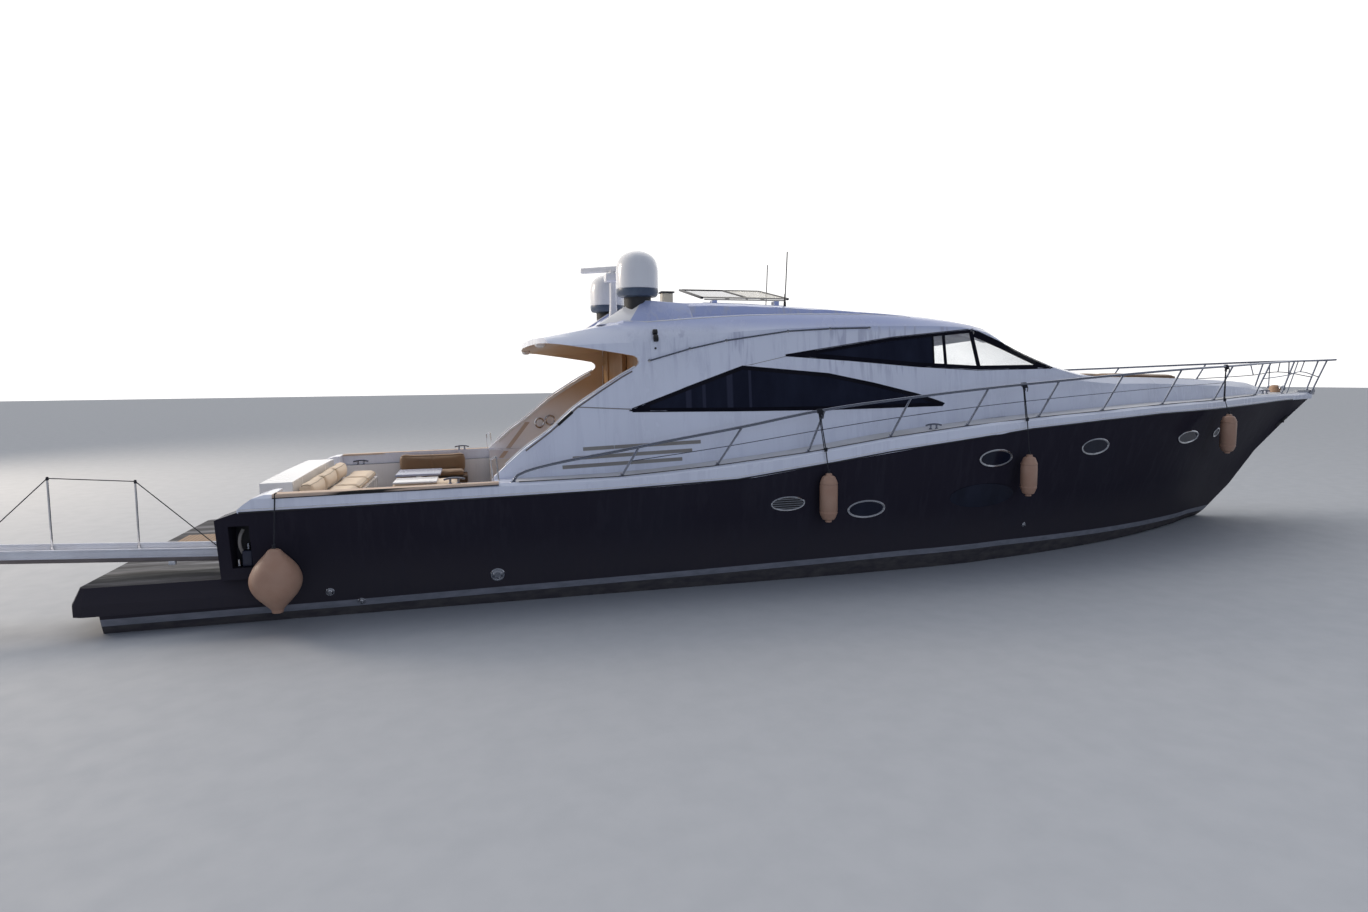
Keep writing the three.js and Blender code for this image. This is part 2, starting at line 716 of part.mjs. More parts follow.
function buildRoofGear() {
  const outer = cabin(-GAP);
  for (const [side, sign] of SIDES) {
    const dome = turned(DOME_PROFILE, 28, [DOME.x, sign * DOME.y, DOME.z]);
    add(`satellite_dome_${side}`, dome.subtract(outer), "white");
  }
  const { x: radarX, postTop, boxTop, scannerZ, length, bar: barSize, turn } = RADAR;
  const post = joined([
    rod([radarX, 0, UNDER_ROOF_Z], [radarX, 0, postTop], 60, 12),
    box([radarX - 130, radarX + 130], [-110, 110], [postTop - 20, boxTop]),
  ]);
  add("radar_post", post.subtract(outer), "white");
  const bar = new THREE.BoxGeometry(length, barSize, barSize);
  bar.rotateZ(THREE.MathUtils.degToRad(turn)).translate(radarX, 0, scannerZ);
  const pivot = rod([radarX, 0, boxTop + GAP], [radarX, 0, scannerZ - 10], 50, 12);
  add("radar_scanner", joined([solid(bar), pivot]), "white");
  for (const [name, x, y, tipZ] of WHIPS) {
    const whip = joined([
      rod([x, y, UNDER_ROOF_Z], [x, y, 4200], 22, 8),
      rod([x, y, 4190], [x + 40, y, tipZ], 7, 6),
    ]);
    add(name, whip.subtract(outer), "black");
  }
  const { x, hingeY, hingeZ, bar: barRadius, width, thick, lift, tilt } = LID;
  const lid = new THREE.BoxGeometry(x[1] - x[0], width, thick);
  lid.translate((x[0] + x[1]) / 2, width / 2, lift);
  const ears = [0.3, 0.7].map((share) => {
    const ear = new THREE.BoxGeometry(60, 50, lift);
    return ear.translate(x[0] + share * (x[1] - x[0]), 25, lift / 2);
  });
  const tilted = [lid, ...ears].map((geometry) =>
    solid(geometry.rotateX(THREE.MathUtils.degToRad(tilt)).translate(0, hingeY, hingeZ)));
  const hingeBar = rod([x[0] + 60, hingeY, hingeZ], [x[1] - 60, hingeY, hingeZ], barRadius, 16);
  add("sunroof_panel", joined([hingeBar, ...tilted]), "glass");
}

// Rail: stanchion feet along the deck edge, and how the tops lean forward and rise.
// footX, topX, topHalf, topZ
const RAIL = [
  [5170, 5200, 2620, 1750],
  [6550, 6800, 2620, 2060],
  [7880, 8260, 2620, 2290],
  [9230, 9500, 2620, 2500],
  [10520, 10870, 2620, 2650],
  [11810, 12190, 2600, 2770],
  [13170, 13560, 2470, 2865],
  [14550, 14990, 2250, 2950],
  [16140, 16580, 1870, 3025],
  [17870, 18330, 1340, 3085],
  [19600, 20010, 720, 3145],
  [20860, 21130, 330, 3180],
  [21990, 22350, 90, 3200],
];
const RAIL_RADIUS = 15;
const POST_RADIUS = 12;
const WIRE_RADIUS = 6;
const RAIL_INBOARD = 90;

function railFoot(footX, sign) {
  const y = sign * Math.max(deckHalf(footX) - RAIL_INBOARD, 70);
  return [footX, y, deckZ(footX) - 15];
}

const railTops = (sign) => RAIL.map(([, x, half, z]) => [x, sign * half, z]);

// The top rail from its aft foot to the pulpit, fatter by a distance
function topRail(sign, grow) {
  const nose = [22640, sign * 60, 3210];
  const points = [railFoot(RAIL[0][0] - 40, sign), ...railTops(sign), nose];
  return tube(points, RAIL_RADIUS + grow, 44, 6);
}

function buildRails() {
  const cutter = deckCutter();
  for (const [side, sign] of SIDES) {
    const tops = railTops(sign);
    const posts = RAIL.slice(1).map(([footX], i) =>
      rod(railFoot(footX, sign), tops[i + 1], POST_RADIUS, 6));
    const wire = RAIL.slice(1, 10).map(([footX], i) => {
      const foot = railFoot(footX, sign);
      return foot.map((value, axis) => (value + tops[i + 1][axis]) / 2);
    });
    const rail = joined([topRail(sign, 0), ...posts, tube(wire, WIRE_RADIUS, 18, 4)]);
    add(`rail_${side}`, rail.subtract(cutter), "steel");
  }
}

function buildRunningGear() {
  const bottom = hullBody(GAP);
  const slope = Math.atan2(SHAFT.forward[1] - SHAFT.aft[1], SHAFT.forward[0] - SHAFT.aft[0]);
  for (const [side, sign] of SIDES) {
    const y = sign * SHAFT.y;
    const [ax, az] = SHAFT.aft;
    const along = (distance) => [ax + distance * Math.cos(slope), y, az + distance * Math.sin(slope)];
    const casing = joined([
      rod(along(0), [SHAFT.forward[0], y, SHAFT.forward[1] + 200], SHAFT.radius, 12),
      rod(along(0), along(240), SHAFT.radius * 1.7, 14),
      sidePlate([[ax + 40, az], [ax + 200, az], [ax + 330, -200], [ax + 150, -200]], [y - 22, y + 22]),
    ]);
    add(`shaft_bracket_${side}`, casing.subtract(bottom), "bronze");
    const wheel = [rod([-PROPELLER.length, 0, 0], [-3, 0, 0], PROPELLER.hub, 14)];
    for (let i = 0; i < PROPELLER.blades; i += 1) {
      const leaf = new THREE.CylinderGeometry(1, 1, 20, 16).scale(130, 1, 165);
      leaf.rotateZ(Math.PI / 2 + THREE.MathUtils.degToRad(sign * PROPELLER.pitch));
      leaf.translate(-PROPELLER.length / 2, 0, 215).rotateX((2 * Math.PI * i) / PROPELLER.blades);
      wheel.push(solid(leaf));
    }
    const propeller = geometryOf(joined(wheel)).rotateY(-slope).translate(ax, y, az);
    add(`propeller_${side}`, solid(propeller), "bronze");
    const { stockX, z, chord, thick, stock: stockRadius, portZ } = RUDDER;
    const blade = planPlate([
      [stockX - chord * 0.62, y],
      [stockX - chord * 0.1, y - thick / 2],
      [stockX + chord * 0.3, y - thick / 2.6],
      [stockX + chord * 0.38, y],
      [stockX + chord * 0.3, y + thick / 2.6],
      [stockX - chord * 0.1, y + thick / 2],
    ], z);
    const stock = rod([stockX, y, z[1] - 10], [stockX, y, portZ - GAP], stockRadius, 12);
    add(`rudder_${side}`, joined([blade, stock]), "bronze");
  }
}

// The boarding ramp on the starboard quarter, hinged on a bracket at the transom
const RAMP = { y: -1700, half: 220, root: [1480, 775], tip: [-1900, 930], thick: 110, ear: 60 };
// The ramp's posts and the ends of its hand line: x, z
const RAMP_LINE = [
  [-1400, 915],
  [-480, 1820],
  [470, 1740],
  [1370, 800],
];

function buildRamp() {
  const { y, half, root, tip, thick, ear } = RAMP;
  const slope = Math.atan2(tip[1] - root[1], root[0] - tip[0]);
  const bracket = joined([
    box([1600, TRANSOM_X - GAP], [y - 150, y + 150], [640, 920]),
    ...[-1, 1].flatMap((sign) => {
      const earY = [y + sign * 130 - 15, y + sign * 130 + 15];
      return [
        box([root[0], 1610], earY, [root[1] - ear, root[1] + ear]),
        rod([root[0], earY[0], root[1]], [root[0], earY[1], root[1]], ear, 16),
      ];
    }),
  ]);
  add("ramp_bracket", bracket, "steel");
  const at = (x) => root[1] + ((root[0] - x) * Math.tan(slope));
  const plank = sidePlate([
    [root[0] - 90, at(root[0]) - thick / 2],
    [root[0] - 90, at(root[0]) + thick / 2],
    [tip[0], tip[1] + thick / 3],
    [tip[0], tip[1] - thick / 3],
  ], [y - half, y + half]);
  const lug = rod([root[0], y - 115 + GAP, root[1]], [root[0], y + 115 - GAP, root[1]], 45, 14);
  const arm = box([root[0] - 150, root[0]], [y - 105, y + 105], [root[1] - 35, root[1] + 35]);
  const postY = y + half - 30;
  const line = RAMP_LINE.map(([x, z]) => [x, postY, z]);
  const posts = line.slice(1, 3).map(([x, , z]) => rod([x - 15, postY, at(x)], [x, postY, z + 12], 14));
  const ropes = line.slice(1).map((point, i) => rod(line[i], point, 9, 6));
  add("boarding_ramp", joined([plank, lug, arm, ...posts, ...ropes]), "steel");
}

// Fenders hang from the rail or the deck edge.
// name, x, y, bottom and top of the body, radius, how far forward the rope's top lies, shape
const FENDERS = [
  ["fender_ball", 2330, -2830, 240, 1020, 285, 0, "ball"],
  ["fender_aft", 9460, -2850, 920, 1620, 125, -40, "cylinder"],
  ["fender_middle", 12800, -2790, 1120, 1760, 120, 60, "cylinder"],
  ["fender_forward", 17880, -1640, 1490, 2200, 150, 150, "cylinder"],
];
// Profiles from the bottom up: radius, height; the cylinder's is given at its two ends
const BALL = [[0, 0], [70, 0], [75, 50], [150, 130], [240, 230], [285, 340], [285, 430], [245, 540],
  [170, 640], [95, 720], [60, 765], [0, 780]];
const CYLINDER_END = [[0, 0], [40, 5], [45, 35], [90, 65]];

function buildFenders() {
  const cutter = deckCutter();
  for (const [name, x, y, low, high, radius, lead, shape] of FENDERS) {
    const height = high - low;
    const ends = [...CYLINDER_END, [radius, 120]];
    const profile = shape === "ball" ? BALL : [...ends, ...ends.map(([r, h]) => [r, height - h]).reverse()];
    const body = turned(profile, 20, [x, y, low]);
    const edge = [x, -deckHalf(x), deckZ(x)];
    const [, railHalf, railZ] = valuesAt(RAIL.map(([, ...top]) => top), x + lead);
    const line = shape === "ball"
      ? [[x, y, high - 20], [x, edge[1] - 14, edge[2] - 60], [x, edge[1] - 4, edge[2] + 12],
        [x, edge[1] + 60, edge[2] + 12], [x, edge[1] + 90, edge[2]]]
      : [[x, y, high - 20], [x + lead / 2, edge[1] - 40, edge[2]], [x + lead, -railHalf, railZ]];
    const ropes = line.slice(1).map((point, i) => rod(line[i], point, 8, 6));
    const fender = joined([body, ...ropes]).subtract(topRail(-1, GAP)).subtract(cutter);
    add(name, fender, "fender");
  }
}

// Cockpit furniture: aft bench, port settee and the tables
function buildCockpit() {
  const z = COCKPIT.floorZ + COCKPIT.soleThick + GAP;
  add("aft_bench", box([COCKPIT.x[0] + GAP, 3000], [-1500, 1500], [z, 1330]), "white");
  add("aft_bench_cushion", box([2560, 3010], [-1480, 1480], [1330 + GAP, 1440]), "cream");
  add("aft_bench_back", box([2330, 2540], [-1480, 1480], [1330 + GAP, 1780]), "cream");
  add("port_settee", box([3250, 4500], [1750, COCKPIT.half - GAP], [z, 1280]), "white");
  add("port_settee_cushion", box([3270, 4480], [1740, 2190], [1280 + GAP, 1390]), "tan");
  add("port_settee_back", box([3270, 4480], [2200, 2420], [1280 + GAP, 1700]), "tan");
  add("cockpit_ottoman", box([3350, 4400], [-150, 560], [z, 1400]), "cream");
  const tableX = 3720;
  const table = joined([
    box([tableX - 360, tableX + 360], [720, 1520], [1445, 1485]),
    rod([tableX, 1100, z], [tableX, 1100, 1450], 60, 12),
    rod([tableX, 1100, z], [tableX, 1100, z + 20], 180, 16),
  ]);
  add("cockpit_table", table, "white");
  const steps = joined([
    box([6450, 6760], [-1000, 100], [z, 1160]),
    box([6750, 7050 - GAP], [-1000, 100], [z, 1380]),
  ]);
  add("saloon_steps", steps, "teak");
}

function buildSaloon() {
  const z = SALOON.floorZ + SALOON.soleThick + GAP;
  const wheel = new THREE.TorusGeometry(190, 16, 8, 24).rotateY(Math.PI / 2).rotateY(-0.45);
  const console = joined([
    box([12100, 12850], [-1850, -350], [z, 2450]),
    sidePlate([[12100, 2440], [12850, 2440], [12850, 2780], [12350, 2700]], [-1800, -400]),
    solid(wheel.translate(12080, -1100, 2500)),
    rod([12080, -1100, 2500], [12300, -1100, 2600], 20, 8),
    rod([12078, -1285, 2500], [12078, -915, 2500], 12, 6),
  ]);
  add("helm_console", console, "black");
  const seat = joined([
    rod([11350, -1100, z], [11350, -1100, 2050], 70, 12),
    box([11050, 11600], [-1400, -800], [2040, 2180]),
    box([11000, 11140], [-1380, -820], [2040, 2850]),
  ]);
  add("helm_seat", seat, "cream");
  add("saloon_sofa", joined([
    box([8000, 10600], [1250, 2050], [z, 2020]),
    box([8000, 10600], [1850, 2050], [2010, 2400]),
  ]), "cream");
  add("saloon_cabinet", box([8000, 10400], [-2050, -1500], [z, 2420]), "tan");
}

function buildForedeck() {
  const cutter = deckCutter();
  const pad = loft(stations(15900, 17900, 5).map((x) => {
    const [, half, topZ] = valuesAt(TRUNK, x);
    return ringAt(x, [
      [0, topZ - 40],
      [half - 330, topZ - 40],
      [half - 330, topZ + 110],
      [0, topZ + 120],
    ]);
  }));
  add("foredeck_sunpad", pad.subtract(cabin(-10)).subtract(cutter), "tan");
  const windlassZ = deckZ(21100) + DECK_CAMBER;
  const windlass = joined([
    box([21000, 21200], [-110, 110], [windlassZ - 60, windlassZ + 90]),
    rod([21100, -170, windlassZ + 80], [21100, 170, windlassZ + 80], 60, 12),
  ]);
  add("windlass", windlass.subtract(cutter), "steel");
  const rollerZ = deckZ(21900) + DECK_CAMBER;
  const roller = joined([
    box([21650, 22120], [-42, 42], [rollerZ - 60, rollerZ + 40]),
    rod([22080, -50, rollerZ + 15], [22080, 50, rollerZ + 15], 50, 12),
  ]);
  add("bow_roller", roller.subtract(cutter), "steel");
}

buildHull();
buildDeck();
buildPlatform();
buildSoles();
buildSuperstructure();
buildBulkhead();
buildRoofGear();
buildRails();
buildRunningGear();
buildRamp();
buildFenders();
buildCockpit();
buildSaloon();
buildForedeck();

export default yacht;
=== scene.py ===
import math

import bmesh
import bpy
from bmesh.types import BMEdge, BMVert
from mathutils import Matrix, Vector
from mathutils.bvhtree import BVHTree


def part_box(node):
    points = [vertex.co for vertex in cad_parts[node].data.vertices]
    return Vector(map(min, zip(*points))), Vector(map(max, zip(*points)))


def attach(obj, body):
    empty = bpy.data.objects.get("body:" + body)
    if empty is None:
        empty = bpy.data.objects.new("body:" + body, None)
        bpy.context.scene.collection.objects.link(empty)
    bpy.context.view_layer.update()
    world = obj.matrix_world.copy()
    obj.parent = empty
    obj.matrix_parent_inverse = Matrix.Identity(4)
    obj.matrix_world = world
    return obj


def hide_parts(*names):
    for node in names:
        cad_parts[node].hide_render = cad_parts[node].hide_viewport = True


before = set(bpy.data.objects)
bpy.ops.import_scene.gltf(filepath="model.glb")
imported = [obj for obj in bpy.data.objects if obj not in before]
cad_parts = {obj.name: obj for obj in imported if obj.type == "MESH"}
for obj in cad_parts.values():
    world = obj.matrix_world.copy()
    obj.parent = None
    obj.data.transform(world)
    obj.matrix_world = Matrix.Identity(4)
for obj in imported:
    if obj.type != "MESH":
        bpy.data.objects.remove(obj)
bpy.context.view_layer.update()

SIDES = (("starboard", -1), ("port", 1))
UPWARD, ACROSS = (0, 0, 1), (0, 1, 0)
# CAD nodes that move, each on the body of its own name
MOVING = ("radar_scanner", "sunroof_panel", "boarding_ramp", "saloon_door", "propeller_starboard", "propeller_port",
          "rudder_starboard", "rudder_port")


# Runs a builder for the starboard and the port side
def both(build):
    for side, sign in SIDES:
        build(side, sign)
    return build


def linked(name, data):
    obj = bpy.data.objects.new(name, data)
    bpy.context.collection.objects.link(obj)
    return obj


# ---- Camera ----
# Its place, its turn towards the bow, its pitch and its roll are the photo's
CAMERA_PLACE = (4.732, -12.855, 2.985)
CAMERA_ANGLES = (14.71, 5.78, -0.6)
FOCAL_PIXELS, PHOTO_PIXELS, SENSOR = 780, 1368, 36


def photo_camera():
    turn, pitch, roll = map(math.radians, CAMERA_ANGLES)
    right = Vector((math.cos(turn), -math.sin(turn), 0))
    ahead = Vector((math.sin(turn) * math.cos(pitch), math.cos(turn) * math.cos(pitch), -math.sin(pitch)))
    up = right.cross(ahead)
    rolled_right = right * math.cos(roll) + up * math.sin(roll)
    rolled_up = up * math.cos(roll) - right * math.sin(roll)
    lens = bpy.data.cameras.new("photo_camera")
    lens.sensor_width, lens.lens, lens.clip_end = SENSOR, FOCAL_PIXELS / PHOTO_PIXELS * SENSOR, 500
    camera = linked("photo_camera", lens)
    axes = Matrix((rolled_right, rolled_up, -ahead)).transposed()
    camera.matrix_world = Matrix.Translation(CAMERA_PLACE) @ axes.to_4x4()
    bpy.context.scene.camera = camera


photo_camera()


# ---- Materials ----
# Adds nodes to a tree and links their sockets
class Graph:
    def __init__(self, tree):
        self.tree = tree

    def add(self, kind, inputs=None, **settings):
        node = self.tree.nodes.new("ShaderNode" + kind)
        for key, value in settings.items():
            setattr(node, key, value)
        for key, value in (inputs or {}).items():
            self.put(node.inputs[key], value)
        return node

    def put(self, socket, value):
        if isinstance(value, bpy.types.NodeSocket):
            self.tree.links.new(value, socket)
        else:
            socket.default_value = (*value, 1) if socket.type == "RGBA" else value

    def math(self, operation, a, b=0.0, clamp=False):
        return self.add("Math", {0: a, 1: b}, operation=operation, use_clamp=clamp).outputs[0]

    def plus(self, a, b, clamp=False):
        return self.math("ADD", a, b, clamp)

    def mul(self, a, b, clamp=False):
        return self.math("MULTIPLY", a, b, clamp)

    def off(self, value, middle):
        return self.math("ABSOLUTE", self.math("SUBTRACT", value, middle))

    def scaled(self, vector, factors):
        return self.add("VectorMath", {0: vector, 1: factors}, operation="MULTIPLY").outputs[0]

    def split(self, vector):
        return self.add("SeparateXYZ", {0: vector}).outputs

    def join(self, x, y, z=0.0):
        return self.add("CombineXYZ", {0: x, 1: y, 2: z}).outputs[0]

    def mix(self, factor, a, b):
        return self.add("Mix", {0: factor, 6: a, 7: b}, data_type="RGBA").outputs[2]

    def span(self, value, low, high, start=0.0, end=1.0, smooth=False):
        return self.add("MapRange", {0: value, 1: low, 2: high, 3: start, 4: end},
                        interpolation_type="SMOOTHSTEP" if smooth else "LINEAR").outputs[0]

    def noise(self, vector, scale, detail=3.0, rough=0.55):
        return self.add("TexNoise", {
            "Vector": vector, "Scale": scale, "Detail": detail, "Roughness": rough}).outputs["Fac"]

    def bump(self, height, strength, distance):
        return self.add("Bump", {"Height": height, "Strength": strength, "Distance": distance}).outputs[0]

    def group(self, tree, **inputs):
        named = {key.replace("_", " "): value for key, value in inputs.items()}
        return self.add("Group", named, node_tree=tree).outputs


# Makes a node group of a function: its inputs are a position, colours and values with their defaults
def effect(name, *colours, **values):
    def wrap(build):
        tree = bpy.data.node_groups.new(name, "ShaderNodeTree")

        def socket(label, side, kind):
            return tree.interface.new_socket(label, in_out=side, socket_type=f"NodeSocket{kind}")

        socket("Position", "INPUT", "Vector")
        for label in colours:
            socket(label, "INPUT", "Color")
        for label, value in values.items():
            socket(label, "INPUT", "Float").default_value = value
        graph = Graph(tree)
        made = build(graph, tree.nodes.new("NodeGroupInput").outputs)
        for label in made:
            socket(label, "OUTPUT", "Color" if label == "Colour" else "Float")
        sink = tree.nodes.new("NodeGroupOutput").inputs
        for label, value in made.items():
            graph.put(sink[label], value)
        return tree
    return wrap


# Rain leaves long pale and dark runs down steep gelcoat, and a few soft clouds of dust
@effect("rain_marks", "Colour", "Run colour", "Dust colour", Amount=0.4, Dust=0.2)
def rain_marks(g, inputs):
    place = inputs["Position"]
    fine = g.noise(g.scaled(place, (13, 13, 0.3)), 1.0, 2)
    broad = g.noise(g.scaled(place, (3.1, 3.1, 0.12)), 1.0, 2)
    clouds = g.noise(place, 0.9, 4)
    level = g.math("ABSOLUTE", g.split(g.add("NewGeometry").outputs["Normal"])[2])
    runs = g.mul(g.span(fine, 0.47, 0.6), g.span(broad, 0.36, 0.56))
    amount = g.mul(g.mul(runs, g.span(level, 0.75, 0.35)), inputs["Amount"], True)
    tinted = g.mix(amount, inputs["Colour"], inputs["Run colour"])
    dust = g.mul(g.span(clouds, 0.42, 0.75), inputs["Dust"], True)
    return {"Colour": g.mix(dust, tinted, inputs["Dust colour"]),
            "Dullness": g.plus(g.mul(amount, 0.25), g.mul(dust, 0.5)), "Height": g.noise(place, 55.0, 2)}


# Narrow planks along X with dark caulking between them and a grain of their own
@effect("planks", "Light", "Dark", Width=0.06)
def planks(g, inputs):
    x, y, z = g.split(inputs["Position"])
    across = g.math("DIVIDE", y, inputs["Width"])
    number = g.math("FLOOR", across)
    caulk = g.span(g.off(g.math("FRACT", across), 0.5), 0.43, 0.46)
    shift = g.mul(number, 3.7)
    grain = g.noise(g.join(g.plus(g.mul(x, 0.8), shift), g.mul(y, 26.0), g.mul(z, 26.0)), 2.2, 6, 0.65)
    tone = g.noise(g.join(shift, number), 1.7, 0)
    wood = g.mix(g.span(grain, 0.3, 0.7), inputs["Dark"], inputs["Light"])
    wood = g.mix(g.span(tone, 0.3, 0.7, 0.0, 0.35), wood, inputs["Dark"])
    return {"Colour": g.mix(caulk, wood, (0.012, 0.011, 0.01)),
            "Height": g.math("SUBTRACT", g.mul(grain, 0.15), caulk),
            "Roughness": g.span(grain, 0.2, 0.8, 0.5, 0.75)}


# Pebbled marine upholstery with soft fading
@effect("hide_grain", "Colour", "Faded", "Deep", Fineness=220.0)
def hide_grain(g, inputs):
    place = inputs["Position"]
    cells = g.add("TexVoronoi", {"Vector": place, "Scale": inputs["Fineness"]}, feature="SMOOTH_F1")
    fade = g.noise(place, 2.3, 4)
    colour = g.mix(g.span(fade, 0.35, 0.7, 0.0, 0.55), inputs["Colour"], inputs["Faded"])
    colour = g.mix(g.span(g.noise(place, 130.0, 2), 0.3, 0.7, 0.0, 0.22), colour, inputs["Deep"])
    return {"Colour": colour, "Height": cells.outputs["Distance"], "Roughness": g.span(fade, 0.3, 0.7, 0.48, 0.68)}


# Polished or brushed metal: fine lines, water spots and a little tarnish
@effect("metal_wear", "Colour", "Tarnish colour", Roughness=0.15, Tarnish=0.3)
def metal_wear(g, inputs):
    place = inputs["Position"]
    mask = g.mul(g.span(g.noise(place, 4.0, 4), 0.5, 0.75), inputs["Tarnish"])
    spots = g.mul(g.span(g.noise(place, 38.0, 3), 0.5, 0.8), 0.12)
    return {"Colour": g.mix(mask, inputs["Colour"], inputs["Tarnish colour"]),
            "Roughness": g.plus(g.plus(inputs["Roughness"], spots), g.mul(mask, 0.25), True),
            "Height": g.noise(g.scaled(place, (3, 140, 140)), 1.0, 3)}


# A function gives the finish's colour, roughness and normal, and constants go on the shader's other sockets
def finish(name, slot, build, **constants):
    material = bpy.data.materials.new(name)
    material.use_nodes = True
    g = Graph(material.node_tree)
    shader = material.node_tree.nodes["Principled BSDF"].inputs
    for key, value in constants.items():
        shader[key.replace("_", " ")].default_value = value
    made = build(g, g.add("TexCoord").outputs["Object"])
    for key, value in zip(("Base Color", "Roughness", "Normal"), made):
        g.put(shader[key], value)
    return material


# Upper is painted shade: a bluer tone over the roof's sides above about 3.6 m, standing for blue skylight in shade
# there; the runs fade downwards
def gelcoat(name, colour, run, grime, amount, upper=None):
    def build(g, place):
        shade, streaked = colour, amount
        if upper:
            height = g.split(place)[2]
            shade = g.mix(g.span(height, 3.6, 3.82, smooth=True), colour, upper)
            streaked = g.span(height, 2.8, 3.25, amount * 0.28, amount, True)
        marks = g.group(rain_marks, Position=place, Colour=shade, Run_colour=run, Dust_colour=grime, Amount=streaked,
                        Dust=0.2)
        return marks["Colour"], g.plus(marks["Dullness"], 0.22, True), g.bump(marks["Height"], 0.04, 0.004)
    return finish(name, "white_gelcoat", build, Coat_Weight=0.3, Coat_Roughness=0.08)


# WHITE's last tone is the painted bluish shade high on the roof's sides
WHITE = gelcoat("white_gelcoat", (0.82, 0.85, 0.95), (0.53, 0.55, 0.67), (0.66, 0.67, 0.72), 0.85, (0.47, 0.53, 0.78))
WHITE_PLAIN = gelcoat("white_moulded", (0.83, 0.83, 0.84), (0.6, 0.6, 0.62), (0.66, 0.65, 0.62), 0.2)


# The lining is tan under the roof and pales down the wings
def lining(g, place):
    soft = g.noise(place, 1.1, 4)
    low = g.span(g.split(place)[2], 2.15, 2.95, smooth=True)
    colour = g.mix(g.span(soft, 0.35, 0.7), (0.6, 0.42, 0.25), (0.66, 0.48, 0.32))
    return (g.mix(low, (0.97, 0.97, 1.0), colour), g.span(soft, 0.3, 0.7, 0.35, 0.55),
            g.bump(g.noise(place, 60.0, 2), 0.05, 0.002))


LINING = finish("tan_lining", "white_gelcoat", lining)
# The boot stripe's middle height along X
STRIPE = ((0.34, 0.143), (1.35, 0.147), (3.06, 0.159), (5.19, 0.191), (7.69, 0.222), (9.22, 0.25), (10.87, 0.278),
          (12.77, 0.279), (15.2, 0.234), (18.07, 0.188))
HULL_LENGTH = 22.0


def hull_paint(g, place):
    x, _, z = g.split(place)
    ramp = g.add("ValToRGB", {0: g.math("DIVIDE", x, HULL_LENGTH)})
    points = ramp.color_ramp.elements
    points[0].position, points[1].position = STRIPE[0][0] / HULL_LENGTH, STRIPE[-1][0] / HULL_LENGTH
    for at, height in STRIPE[1:-1]:
        points.new(at / HULL_LENGTH)
    for point, (at, height) in zip(points, STRIPE):
        point.color = (height, height, height, 1)
    away = g.math("SUBTRACT", z, ramp.outputs[0])
    below = g.span(away, -0.044, -0.05)
    # Painted reflection: the topsides lighten towards the waterline as if light from the water fell on them
    topsides_painted_reflection = g.mix(g.span(z, 1.1, 0.25, smooth=True), (0.026, 0.0235, 0.034), (0.05, 0.045, 0.053))
    marks = g.group(rain_marks, Position=place, Colour=topsides_painted_reflection, Run_colour=(0.04, 0.038, 0.05),
                    Dust_colour=(0.032, 0.033, 0.045), Amount=0.3, Dust=0.35)
    growth = g.noise(g.scaled(place, (5, 5, 14)), 1.0, 5)
    bottom = g.mix(g.span(growth, 0.35, 0.7), (0.06, 0.055, 0.062), (0.1, 0.094, 0.09))
    grey = g.mix(g.span(growth, 0.3, 0.8), (0.26, 0.265, 0.3), (0.17, 0.18, 0.2))
    colour = g.mix(g.span(g.math("ABSOLUTE", away), 0.047, 0.043), marks["Colour"], grey)
    rough = g.plus(g.plus(g.mul(marks["Dullness"], 0.5), 0.14), g.mul(below, 0.4), True)
    return g.mix(below, colour, bottom), rough, g.bump(g.noise(place, 1.4, 2), 0.05, 0.02)


HULL_PAINT = finish("hull_paint", "hull_paint", hull_paint, Coat_Weight=0.012, Coat_Roughness=0.06,
                    Specular_IOR_Level=0.006)


def teak(name, width, light, dark, turned=False):
    def build(g, place):
        if turned:
            place = g.add("Mapping", {"Vector": place, "Rotation": (0, 0, math.pi / 2)}).outputs[0]
        deck = g.group(planks, Position=place, Width=width, Light=light, Dark=dark)
        return deck["Colour"], deck["Roughness"], g.bump(deck["Height"], 0.35, 0.002)
    return finish(name, "teak", build)


TEAK = teak("teak", 0.062, (0.34, 0.22, 0.125), (0.2, 0.12, 0.065))
TEAK_CAP = teak("teak_cap", 0.3, (0.68, 0.53, 0.42), (0.55, 0.41, 0.31))
TEAK_ACROSS = teak("teak_across", 0.062, (0.34, 0.22, 0.125), (0.2, 0.12, 0.065), True)
JOINERY = teak("joinery", 0.9, (0.2, 0.11, 0.05), (0.1, 0.05, 0.022))


def non_skid(g, place):
    cells = g.add("TexVoronoi", {"Vector": place, "Scale": 75.0}).outputs["Distance"]
    worn = g.noise(place, 1.3, 5)
    return (g.mix(g.span(worn, 0.35, 0.7), (0.7, 0.7, 0.72), (0.6, 0.6, 0.6)), g.span(worn, 0.3, 0.7, 0.45, 0.7),
            g.bump(cells, 0.5, 0.002))


NON_SKID = finish("non_skid", "white_gelcoat", non_skid)


# Lit bands are painted light: lighter strips on the glass that stand for the lit interior behind it, as middle and
# half width along X
def glass(name, tint, depth, rough, transmission=0.0, lit_bands=(), slot="dark_glass", **constants):
    def build(g, place):
        film = g.noise(g.scaled(place, (1, 1, 0.4)), 3.0, 4)
        colour = g.mix(g.span(film, 0.35, 0.75), tint, depth)
        for middle, half in lit_bands:
            lit_strip = g.span(g.off(g.split(place)[0], middle), half, half * 0.6)
            colour = g.mix(lit_strip, colour, (0.032, 0.035, 0.06))
        return colour, g.span(film, 0.3, 0.8, rough, rough + 0.04)
    return finish(name, slot, build, Transmission_Weight=transmission, IOR=1.45, **constants)


